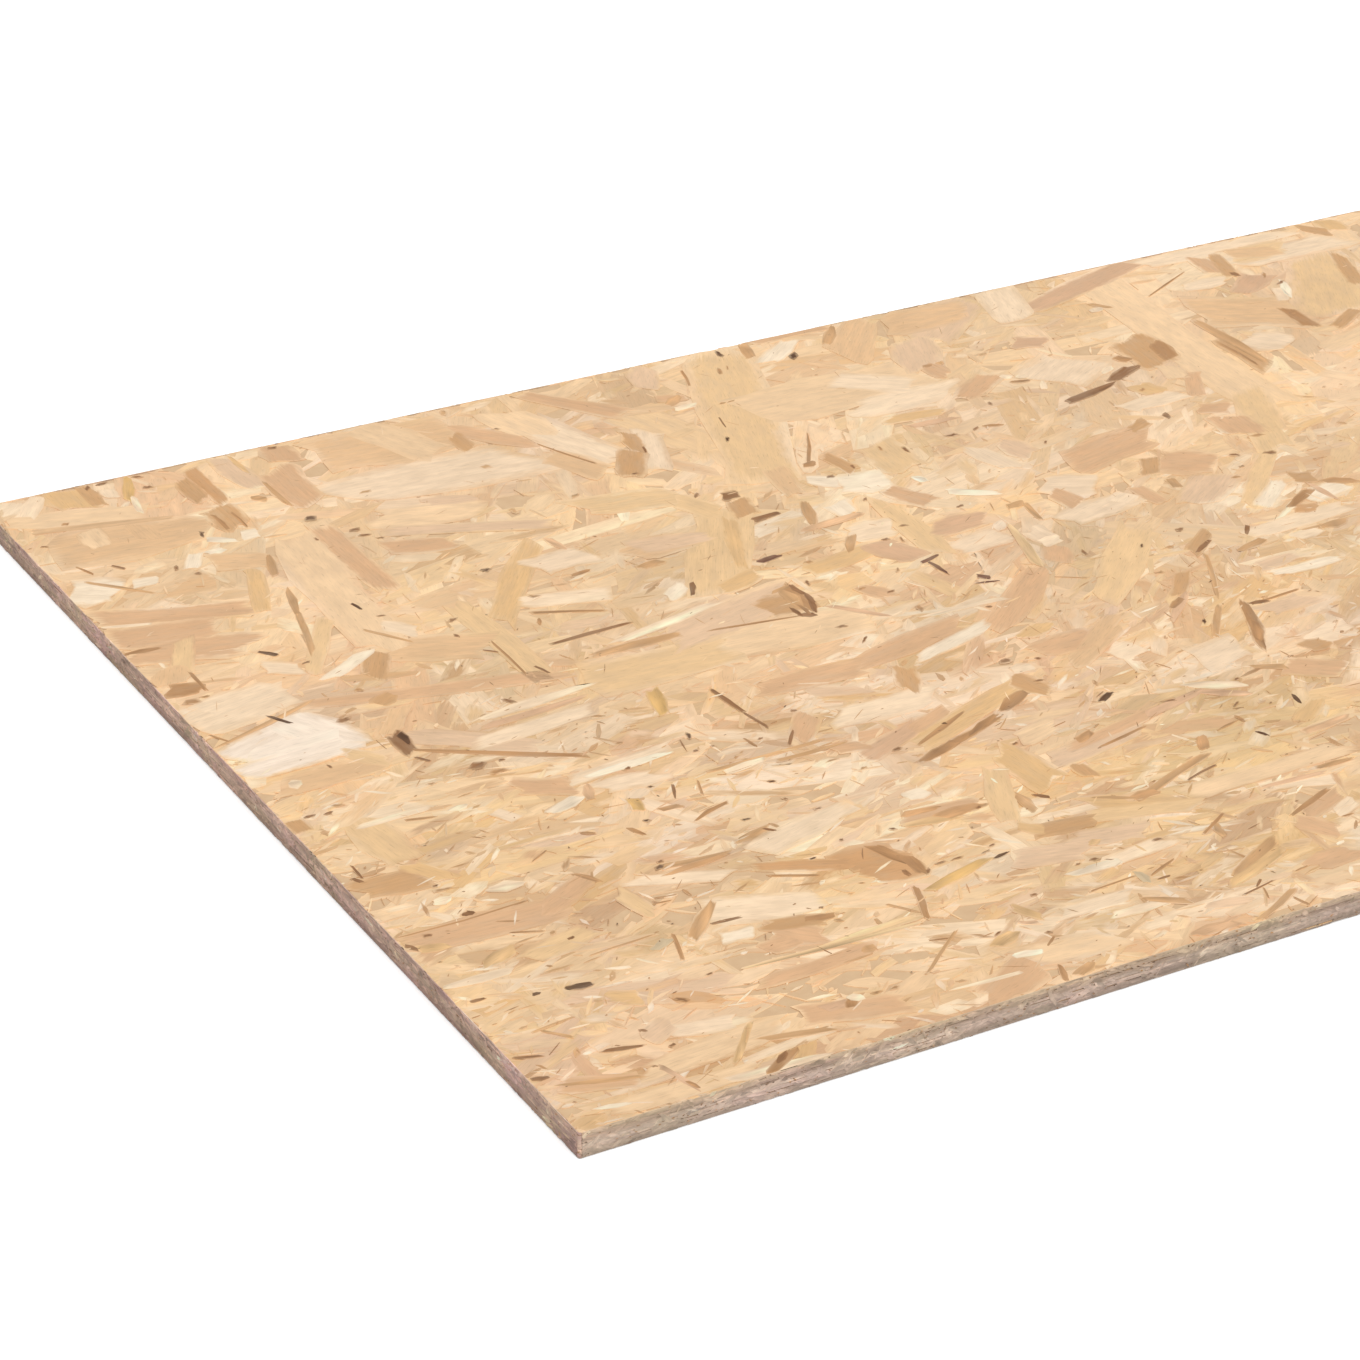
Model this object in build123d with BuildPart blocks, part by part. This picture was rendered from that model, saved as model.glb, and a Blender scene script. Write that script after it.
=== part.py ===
"""Oriented strand board: one flat rectangular sheet, hot-pressed from wood strands and sawn square on all four sides."""

import os

from build123d import *

# Driving dimensions, in millimetres
board_length = 1220.0  # along X, the way most of the face strands run
board_width = 610.0  # along Y
board_thickness = 11.0  # along Z, between the two pressed faces
corner_radius = 1.5  # the four sawn corners, knocked a little round in handling
arris_radius = 0.5  # where a pressed face meets a sawn edge, rubbed down in handling

# The sheet: its sawn outline drawn on the underside and carried up to the top face
with BuildPart() as board:
    with BuildSketch(Plane.XY) as sawn_outline:
        RectangleRounded(board_length, board_width, corner_radius)
    extrude(amount=board_thickness)
    pressed_faces = board.faces().filter_by(Axis.Z)
    fillet(pressed_faces.edges(), radius=arris_radius)
board.part.label = "osb_board"

os.makedirs("parts", exist_ok=True)
export_step(board.part, "parts/osb_board.step")
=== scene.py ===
"""Dresses an oriented strand board with pressed strands on its faces and sawn strand ends on its edges."""

from __future__ import annotations

import logging
import math
from dataclasses import dataclass, replace
from enum import Enum

import bpy
import numpy as np
from mathutils import Euler, Matrix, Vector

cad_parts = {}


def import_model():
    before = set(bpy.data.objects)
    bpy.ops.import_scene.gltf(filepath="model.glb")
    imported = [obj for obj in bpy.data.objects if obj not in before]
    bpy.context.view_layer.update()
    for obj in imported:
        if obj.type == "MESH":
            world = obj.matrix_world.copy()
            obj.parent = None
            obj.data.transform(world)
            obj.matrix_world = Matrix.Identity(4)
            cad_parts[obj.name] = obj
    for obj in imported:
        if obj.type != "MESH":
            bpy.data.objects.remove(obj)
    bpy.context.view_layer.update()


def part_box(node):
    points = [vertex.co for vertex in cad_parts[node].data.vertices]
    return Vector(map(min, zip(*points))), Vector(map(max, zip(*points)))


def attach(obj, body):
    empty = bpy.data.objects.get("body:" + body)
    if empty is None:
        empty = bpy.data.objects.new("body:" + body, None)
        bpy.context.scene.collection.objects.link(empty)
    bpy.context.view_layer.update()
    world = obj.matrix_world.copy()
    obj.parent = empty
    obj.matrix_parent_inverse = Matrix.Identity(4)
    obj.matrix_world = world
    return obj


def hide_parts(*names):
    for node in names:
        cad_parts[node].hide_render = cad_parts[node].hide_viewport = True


LOG = logging.getLogger("strand_board")
MM = 0.001
TINY = 1e-6
NODE = "osb_board"
BODY = "root"
WOOD_IOR = 1.5
WHITE_LIGHT = (1.0, 1.0, 1.0, 1.0)
Pair = tuple[float, float]
Triple = tuple[float, float, float]
Five = tuple[float, float, float, float, float]
Tree = bpy.types.NodeTree
Socket = bpy.types.NodeSocket
Material = bpy.types.Material
Piece = bpy.types.Object


class Wood(Enum):
    """What a strand was flaked from, as the sRGB hex of its face."""

    IVORY = "FFEAD3"
    WHITE = "FDE7C9"
    SAPWOOD = "FADDBA"
    BLUSH = "F5D8B6"
    CREAM = "F4D0A5"
    STRAW = "EDC796"
    PINK = "E8C4A0"
    HONEY = "E6BC87"
    ROSE = "DFB389"
    BISCUIT = "E7BE91"
    RUST = "D4A373"
    TAN = "D0A374"
    OCHRE = "DDB273"
    GREY = "D2BB98"
    MAUVE = "DCB28D"
    BROWN = "BA8C60"
    UMBER = "936A47"
    KNOT = "7A5440"
    BARK = "5E4029"


# Strands that the eye knows this board by, read in millimetres from the middle of the top face.
# Each row is the start's two coordinates, the end's two and the width.
LAID_STRANDS: dict[Wood, tuple[Five, ...]] = {
    Wood.BARK: (
        (-534.5, 0.5, -534.5, -10, 4), (-577, 42, -571, 31, 2.5), (-499.5, 124, -498, 116, 2),
        (-556, 100, -550, 93, 3), (-568, -216, -557.5, -217, 4.5), (-581, -213.5, -578, -214, 2.5),
        (-255, -121, -247, -116, 4), (-178.5, -156, -180.5, -164, 2.5), (-213, -176, -211, -181.5, 2.2),
        (-371, -212.5, -363, -210.5, 2),
    ),
    Wood.KNOT: (
        (-249, 34, -238, 37.5, 3.5), (-246, 34, -244.5, 18.5, 2.8), (-234, 10, -230, 5, 4),
        (-239, 3.5, -228, 0.5, 2), (-315, 71, -303, 73.5, 5),
    ),
    Wood.UMBER: (
        (-299, 213, -301, 206, 1.5), (-294, 142, -285.5, 142, 9), (-248, 226, -251, 214, 1),
        (-82, 158, -49, 166, 6), (97, 262, 98, 256, 4), (-468, 53, -463, 48, 1.5),
        (-455, 28, -452.5, 19, 1.8), (-438, 43.5, -398, 45.5, 3), (-536.5, 1, -537, -18, 8.5),
        (-538, -22, -534, -28, 2), (-398, -29, -396, -54, 3), (-353, 68, -359, 56, 3),
        (-294, 112, -279, 114.5, 5), (-315, 44, -313.5, 31, 3), (-313.5, 32, -315, 22, 3.5),
        (-314.5, 25, -319, 14, 3.5), (-327.5, 14, -320, 12.5, 5), (-326.5, 23, -326.5, 14, 2.5),
        (-98, -14, -91.5, -6.5, 3), (-130, -19, -117, -11, 3), (-604, -101, -602, -106, 2.5),
        (-600, -92, -600.5, -103, 1.5), (-608, -158, -605, -163, 3), (-578, -149, -574, -147, 4),
        (-604, -207, -598, -207, 2.5), (-550.5, -184.5, -547.5, -183.5, 2), (-454.5, -96, -459, -106, 1.5),
        (-396.5, -55, -394, -71, 1.8), (-394, -89, -386, -79, 2), (-496, -201.5, -484, -202.5, 2),
        (-440, -146, -436.5, -150, 2.5), (-141, -75, -132, -76, 3), (-328, -176, -323, -181, 2.5),
        (-576, -261, -562, -265, 2.5), (-607, -249.5, -597.5, -253, 2), (-524, -299, -517, -295, 3),
        (-608, -265.5, -602, -267, 2.5), (-323, -258, -317, -258, 1.5), (-300, -284.5, -283, -281, 1.3),
        (-292, -282, -287, -278, 1.2), (-580, 214, -576, 208, 2), (-47, 169, -27, 180, 8),
        (-264, -197, -246, -192, 1.3),
    ),
    Wood.BROWN: (
        (-237, 157, -219, 188, 2), (-241, 155, -234, 155, 6), (-235, 288, -241, 269, 1.5),
        (-137, 152, -128, 150, 3), (2, 200, -3, 180, 10), (-28, 194, -24, 187, 7), (91, 205, 88, 178, 10),
        (38, 256, 74, 275, 1.5), (-94, 193, -84, 190, 4), (-606, 84, -592, 80, 12),
        (-590.5, 96, -591, 78, 2), (-461, 58, -462, 24, 1.5), (-432, 76, -402, 62, 3),
        (-398, 101, -388, 102, 4), (-432, 69, -434, 63, 2), (-606, 38, -601, 29, 1.5),
        (-318, 43, -317, 17, 8), (-322, 24, -322.5, 13, 2), (-370, 21, -328, 14, 2), (-62, 0, -40, 12, 7),
        (-607, -151, -552, -150, 1.2), (-525, -141, -519, -151, 3), (-401, -193, -402, -209, 7),
        (-457, -180, -440, -189, 2), (-461, -127, -442, -120, 3), (-443.5, -98, -447.5, -109, 1.2),
        (-408, -75, -407, -84, 1.5), (-513, -201, -519, -219, 1.8), (-411, -216, -420, -239, 3.5),
        (-506, -173, -497, -175, 1.2), (-509, -177, -501, -178, 1.2), (-493, -173, -492, -178, 2),
        (-565, -69, -553, -72, 1.8), (-568, -169, -556, -174, 1.5), (-535, -124, -526, -119, 1.2),
        (-507, -113, -502, -116, 2), (-488, -119, -485, -127, 2.5), (-462, -216, -450, -219, 5),
        (-353, -129, -302, -111, 5), (-352, -129, -331, -121, 6), (-322, -119, -302, -109, 4),
        (-346, -116, -313, -100, 3), (-298, -107, -279, -97.5, 7), (-163, -113, -143, -73, 7),
        (-160, -106, -150, -90, 6), (-175, -61, -165, -55, 5), (-279, -155, -253, -149, 2),
        (-559, -294, -557.5, -300, 2), (-529, -304, -514, -294, 6), (-480, -280, -476, -273, 5),
        (-390, -279, -384, -274.5, 1.5), (-398, -304, -394, -293, 3), (-323, -254, -308, -248, 1.2),
        (-290, -284, -293, -291, 1.2), (-271, -279.5, -264, -278.5, 1.5), (-284, -296, -282, -303, 1.5),
        (-244, -242, -218, -232, 3), (-227, -253, -221, -253, 1.5), (-352, -253, -330, -251.5, 1.2),
        (-517, 242, -517, 224, 2.5), (-508, 241, -508, 222, 2), (-595, 220, -591, 210, 1.5),
        (-343, 241, -329, 207, 1.8), (31, 182, 31, 150, 2), (-609, 126.5, -593, 125, 3.5),
        (-534, -17, -475, -55, 4), (-409, -180, -401, -203, 7), (-134, -75.5, -113, -73.5, 1.8),
        (-285, -237, -268, -227, 1.6),
    ),
    Wood.TAN: (
        (-326, 40.5, -316, 43, 3), (-322, 40, -321.5, 20, 7), (-560, 303, -560, 279, 8),
        (-512, 189, -518, 168, 5), (-519, 152, -525, 126, 4), (-297, 231, -303, 208, 10),
        (-305, 212, -321, 186, 16), (-262, 253, -252, 260, 6), (-150, 283, -135, 302, 6),
        (-226, 160, -222, 138, 10), (-290, 137, -294, 118, 13), (-7, 212, -12, 174, 30),
        (38, 214, 36, 150, 7), (104, 288, 94, 258, 9), (165, 255, 148, 215, 10), (172, 300, 182, 285, 10),
        (-607, 27, -556, 46, 4), (-522, 53, -509, 75, 12), (-525, 128, -536, 87, 4.5),
        (-262, 118, -272, 95, 7), (-262, 75, -272, 60, 6), (-180, 66, -170, 67, 7),
        (-148, -33, -165, -52, 8), (-75, 112, -62, 118, 8), (-98, 64, -87, 80, 10), (-92, 55, -95, 45, 6),
        (-40, 28, -30, 22, 12), (-112, -27, -94, -22, 6), (-62, -24, -46, -24, 7), (-72, -23, -60, -23, 2),
        (-132, -18, -112, -2, 8), (-606, -112, -580, -113, 17), (-428, -222, -420, -233, 1.5),
        (-508, -207, -487, -187, 7), (-492, -153, -462, -156, 4), (-455, -150, -438, -146, 6),
        (-478, -213, -453, -220, 9), (-435, -93, -380, -92, 3), (-405, -99, -372, -99, 3),
        (-278, -84, -270, -102, 14), (-290, -200, -245, -182, 5), (-345, -203, -318, -206, 10),
        (-175, -95, -155, -70, 4), (-146, -122, -134, -122, 10), (-178, -126, -165, -133, 5),
        (-210, -214, -192, -215, 3), (-308, -190, -292, -199, 2.5), (-441, -273, -415, -252, 1.5),
        (-590, -238, -582, -247, 2), (-521, -283, -494, -289, 4), (-392, -302, -382, -297, 6),
        (-455, -247, -449, -247, 5), (-276, -231, -279, -243, 4), (-294, -271, -263, -255, 7),
        (-337, -268, -322, -278, 5), (-306, -303, -280, -290, 3.5), (-515, 286, -515, 260, 11),
        (-513, 249, -513, 224, 18), (-493, 252, -487, 247, 6), (-480, 265, -480, 236, 3),
        (-597, 203, -574, 178, 2.5), (-375, 271, -375, 252, 10), (-190, 303, -194, 286, 7),
        (36, 190, 34, 146, 13), (100, 172, 124, 187, 8), (3, 262, 9, 252, 4), (-531, 29, -522, 35, 9),
        (-506, 97, -492, 76, 2), (-366, 93, -354, 95, 7), (-426, 24.5, -384, 25, 7),
        (-338, 27, -319, 29, 20), (-601, -274, -572, -283, 3), (-314, -52, -322, -72, 11),
        (-150, -62, -128, -23, 3), (-297, -163, -297, -174.5, 8), (-334, -172, -334.5, -187, 6),
        (-170, 66, -174, 47, 4), (-606, -47, -605, -57, 9), (-548, -199, -520, -197.5, 1.2),
        (-593, -237, -575, -235, 1.4),
    ),
    Wood.BISCUIT: (
        (-598, 240, -525, 232, 36), (-445, 280, -372, 275, 42), (-255, 158, -262, 128, 12),
        (45, 225, 95, 195, 40), (-108, 290, -62, 288, 30), (-245, -85, -205, -62, 12),
        # (-597, 265, -536, 250, 6) is painted shadow: the soft shadow line under the pale strand above it,
        # laid as a biscuit strand.
        (-297, -197, -281, -198, 8), (-538, 195, -512, 185, 18), (-597, 265, -536, 250, 6),
        (-553, 250, -553, 232, 12), (-345, 225, -330, 196, 18), (-150, 262, -118, 300, 26),
        (112, 285, 140, 277, 16), (-595, 105, -602, 90, 14), (-538, 2, -523, 22, 9),
        (-362, 107, -330, 112, 24), (-597, -18, -550, -20, 17), (-230, -75, -200, -53, 9),
        (-503, 72, -464, 56, 24),
    ),
    Wood.HONEY: (
        (-569, 303, -569, 280, 26), (-483, 302, -483, 280, 3.5), (-525, 178, -538, 137, 8),
        (-175, 182, -145, 178, 10), (-40, 158, -35, 145, 14), (190, 302, 190, 286, 16),
        (-303, 120, -325, 70, 8), (-345, 55, -322, 62, 12), (-580, -102, -570, -120, 10),
        (-605, -163, -593, -166, 6), (-588, -186, -572, -180, 7), (-388, -172, -365, -175, 7),
        (-345, -115, -280, -92, 13), (-318, -137, -315, -172, 18), (-348, -195, -340, -203, 8),
        (-190, -178, -172, -165, 8), (-557, -229, -546, -236, 9), (-536, -291, -519, -271, 4),
        (-408, -269, -395, -264, 7), (-386, -248, -380, -260, 6), (-312, -194, -276, -213, 14),
        (-300, -275, -265, -262, 6), (-399, 139, -446, 77, 14), (-300, 52, -262, 58, 14),
        (-250, -53, -234, -46, 10), (-331, -221, -325, -221, 5),
    ),
    Wood.OCHRE: (
        (-536, 303, -546, 277, 6), (-475, -98, -477, -108, 6), (-420, -17, -427, -39, 7),
        (-407, -221, -374, -211, 6),
    ),
    Wood.STRAW: (
        (-207, 304, -265, 150, 36), (-360, 165, -310, 155, 20), (-315, 150, -305, 128, 16),
        (-196, 160, -198, 128, 24), (112, 280, 145, 282, 18), (-580, 128, -595, 95, 10),
        (-516, 115, -543, 70, 8), (-458, 98, -456, 18, 14), (-562, -4, -550, -20, 9),
        (-303, 128, -345, 55, 26), (-230, 100, -236, 40, 14), (-195, -38, -140, 15, 20),
        (5, 125, -20, 70, 20), (-12, 90, -25, 60, 18), (-570, -190, -540, -182, 12),
        (-516, -162, -512, -182, 9), (-330, -150, -348, -190, 12), (-320, -202, -275, -215, 10),
        (150, 258, 112, 188, 40), (-440, 5, -372, 0, 30), (-75, 15, -25, 62, 10),
        (-500, -236, -425, -240, 3), (-470, -238, -422, -236, 5), (-583, -62, -578, -98, 18),
        (-190, 48, -203, 5, 6),
    ),
    Wood.CREAM: (
        (-605, 280, -545, 262, 18), (-576, 255, -576, 235, 14), (-494, 200, -500, 120, 28),
        (-345, 285, -335, 250, 24), (-225, 225, -132, 220, 40), (-12, 172, -15, 155, 12),
        (75, 150, 110, 160, 14), (-500, 128, -505, 75, 24), (-372, 5, -300, 0, 34),
        (-305, -133, -285, -128, 12), (-414, 303, -391, 257, 24), (-452, 200, -402, 186, 22),
        (24, 290, 8, 110, 28), (-402, -282, -365, -286, 16), (-270, -207, -190, -205, 12),
        (-572, -282, -512, -278, 17), (-590, -297, -535, -298, 10),
    ),
    Wood.SAPWOOD: (
        (-583, 303, -596, 283, 9), (-550, 294, -551, 284, 8), (-542, 280, -546, 262, 5),
        (-608, 156, -587, 149, 3), (-338, 268, -317, 207, 24), (-262, 246, -250, 246, 5),
        (-180, 201, -125, 203, 22), (-172, 238, -140, 215, 22), (60, 296, 105, 294, 12),
        (80, 297, 160, 296, 12), (62, 256, 88, 255, 12), (-88, 196, -82, 196, 5), (110, 272, 178, 275, 24),
        (98, 215, 106, 232, 8), (-600, 60, -565, 66, 16), (-608, 48, -560, 58, 22),
        (-432, 88, -392, 76, 14), (-500, -6, -442, 1, 7), (-508, -24, -452, -20, 11),
        (-593, -16, -591, -22, 7), (-188, 24, -178, 26, 8), (-278, -14, -236, -16, 4),
        (-130, 45, -120, 50, 12), (-95, -14, -38, -12, 12), (-80, -28, -64, -26, 9),
        (-450, -160, -402, -147, 14), (-490, -72, -440, -66, 10), (-430, -97, -410, -95, 6),
        (-508, -157, -470, -172, 9), (-492, -192, -450, -207, 20), (-546, -70, -537, -70, 4),
        (-585, -65, -552, -64, 5), (-607, -193, -580, -194, 7), (-225, -88, -210, -85, 14),
        (-273, -78, -263, -78, 8), (-365, -78, -315, -80, 18), (-440, -288, -410, -290, 2.5),
        (-332, -238, -302, -234, 9), (-227, -250, -214, -244, 9), (-355, -273, -328, -274, 6),
        (-372, -262, -340, -262, 9), (-95, 200, -89, 200, 6), (-84, 177, -79, 186, 4),
        (-46, 180, -37, 184, 5), (-3, 253, 5, 253, 6), (-497, 97, -486, 84, 12), (-412, 31, -354, 44, 7),
        (-262, 77, -239, 76, 22), (-62, 136, -28, 138, 12), (-560, -135, -546, -138, 7),
        (-584, -134, -576, -134, 6), (-478, -274, -472, -276, 5), (-215, -127, -192, -137, 7),
        (-560, 84, -546, 76, 12), (-31, 304, -44, 263, 22),
    ),
    Wood.BLUSH: (
        (-289, 229, -306, 188, 16), (-410, 118, -380, 118, 20), (-482, -84, -455, -85, 12),
        (-547, -262, -524, -267, 11), (-545, -301, -505, -303, 5), (-457, 234, -354, 229, 38),
        (48, 181, 62, 165, 26), (-226, 38, -198, 42, 16), (-151, 79, -127, 68, 25),
        (-164, 40, -122, 48, 18), (-195, -110, -170, -105, 22), (-530, -80, -524, -90, 8),
        (-156, 132, -152, 104, 13), (-184, 40, -182, 22, 12), (-76, 185, -48, 202, 40),
    ),
    Wood.IVORY: (
        (-605, 12, -559, 29, 26), (-573, 34, -554, -3, 24), (-608, -1, -556, 3, 15),
        (-600, 8, -560, 10, 20),
    ),
    Wood.WHITE: (
        (-579, 190, -567, 190, 9), (-549, 193, -541, 207, 8), (-530, 218, -518, 211, 6),
        (-514, 214, -506, 214, 10), (-536, 205, -527, 205, 6), (-190, 276, -165, 296, 12),
        (104, 219, 114, 238, 5), (-250, 110, -250, 96, 15), (-195, 94, -175, 82, 7),
        (-200, 118, -199, 110, 6), (-302, -48, -258, -34, 9), (-72, 8, -48, 28, 10), (-48, 3, -22, 10, 14),
        (-482, -73, -442, -70, 6), (-498, -213, -484, -214, 8), (-510, -92, -493, -86, 7),
        (-375, -152, -365, -152, 9), (-597, -294, -584, -296, 3), (-610, 197, -588, 187, 26),
        (-538, 62, -513, 77, 8), (-370, 59, -358, 67, 9), (-248, 140, -236, 130, 12),
        (-237, 127, -213, 122, 24), (-352, -238, -328, -238, 6), (-406, -279, -394, -281, 5),
        (-112, -55, -76, -55, 8),
    ),
    Wood.ROSE: (
        (-459, 302, -460, 283, 18), (-608, 142, -562, 134, 22), (-460, 170, -430, 160, 16),
        (-322, 300, -288, 254, 14), (-372, 275, -345, 245, 14), (-264, 262, -250, 256, 8),
        (-185, 303, -140, 303, 8), (-5, 157, -20, 133, 8), (-560, 44, -452, 18, 10),
        (-152, 70, -148, 52, 14), (-125, 93, -72, 105, 26), (-30, 118, -15, 112, 14),
        (-85, 75, -62, 60, 26), (-607, -157, -543, -162, 17), (-486, -78, -490, -90, 5),
        (-388, -87, -372, -70, 13), (-487, -228, -473, -228, 10), (-380, -102, -365, -105, 8),
        (-340, -103, -318, -94, 8), (-290, -149, -240, -139, 8), (-252, -68, -220, -66, 16),
        (-165, -133, -145, -148, 16), (-500, -248, -450, -246, 8), (-500, -276, -460, -288, 14),
        (-432, -303, -400, -287, 20), (-240, -246, -215, -236, 9), (-245, -247, -236, -262, 12),
        (-262, -279, -240, -278, 12), (-335, -300, -315, -300, 7), (-470, 275, -470, 233, 22),
        (-478, 205, -478, 130, 14), (-608, 166, -540, 143, 16), (-125, 187, -98, 206, 15),
        (93, 290, 90, 265, 14), (-608, 125, -555, 110, 22), (-220, 112, -209, 88, 15),
        (-279, 91, -245, 94, 6), (-24, 104, -26, 82, 24), (-114, 55, -112, 35, 10),
        (-380, -40, -330, -42, 14), (-255, -40, -205, 2, 16), (-478, -216, -462, -232, 14),
        (-195, -186, -170, -184, 6), (-183, 19, -193, 4, 15), (-512, -66, -492, -78, 15),
        (-328, -40, -270, -27, 15), (-389, 142, -388, 128, 5), (-121, 232, -118, 217, 13),
        (-384, -167, -353, -171, 10), (-288, 27, -280, 12, 10), (-548, -160, -522, -147, 12),
        (-600, -275, -575, -284, 10),
    ),
    Wood.PINK: (
        (-532, -3, -490, -38, 14), (-390, 20, -318, 36, 26), (-98, 28, -70, 48, 22),
        (-335, -215, -305, -222, 12), (-558, -262, -545, -256, 10), (-364, -217, -336, -225, 16),
        (-318, -284, -300, -289, 6), (-100, 262, -55, 300, 34), (-362, -54, -338, -62, 9),
        (-489, 303, -486, 262, 14), (-452, 185, -380, 156, 10), (-422, 206, -399, 201, 9),
        (-357, 113, -322, 109, 16), (-110, 264, -124, 230, 26), (-141, 131, -136, 112, 16),
        (-140, -84, -113, -82, 13), (-114, -46, -92, -43, 9), (-306, -157, -252, -148, 13),
        (-251, 302, -262, 276, 16),
    ),
    Wood.RUST: (
        (-60, -2, -50, -6, 9), (-30, 17, -14, 10, 7), (-459, -172, -425, -187, 8),
        (-494, -160, -465, -157, 4), (-470, -112, -460, -113, 4), (-384, -164, -368, -166, 5),
        (-285, -146, -275, -142, 7), (-236, -168, -242, -178, 6), (-293, -199, -281, -198, 6),
        (-372, -173, -350, -172, 7), (-506, 298, -506, 254, 9), (-429, -186, -402, -189, 20),
        (-423, -200, -400, -203, 15),
    ),
    Wood.MAUVE: (
        (-170, 170, -143, 168, 5), (-500, -12, -450, -8, 5), (-310, 16, -292, -6, 4),
        (-36, 18, -36, -3, 4), (-372, -115, -340, -102, 11), (-245, -140, -212, -134, 6),
        (-213, -134, -195, -146, 6), (-182, -72, -160, -52, 5), (-490, -276, -478, -276, 6),
        (-390, -259, -383, -263, 3), (-29, 271, 62, 303, 19), (85, 235, 108, 252, 16),
        (-224, 62, -196, 62, 18), (-259, 63, -249, 40, 17), (-64, 236, -48, 229, 14),
        (-563, -281, -558, -300, 3), (-240, -217, -210, -219, 3),
    ),
    Wood.GREY: (
        (-525, -208, -516, -203, 6), (-327, -249, -328, -258, 5),
    ),
}
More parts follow.
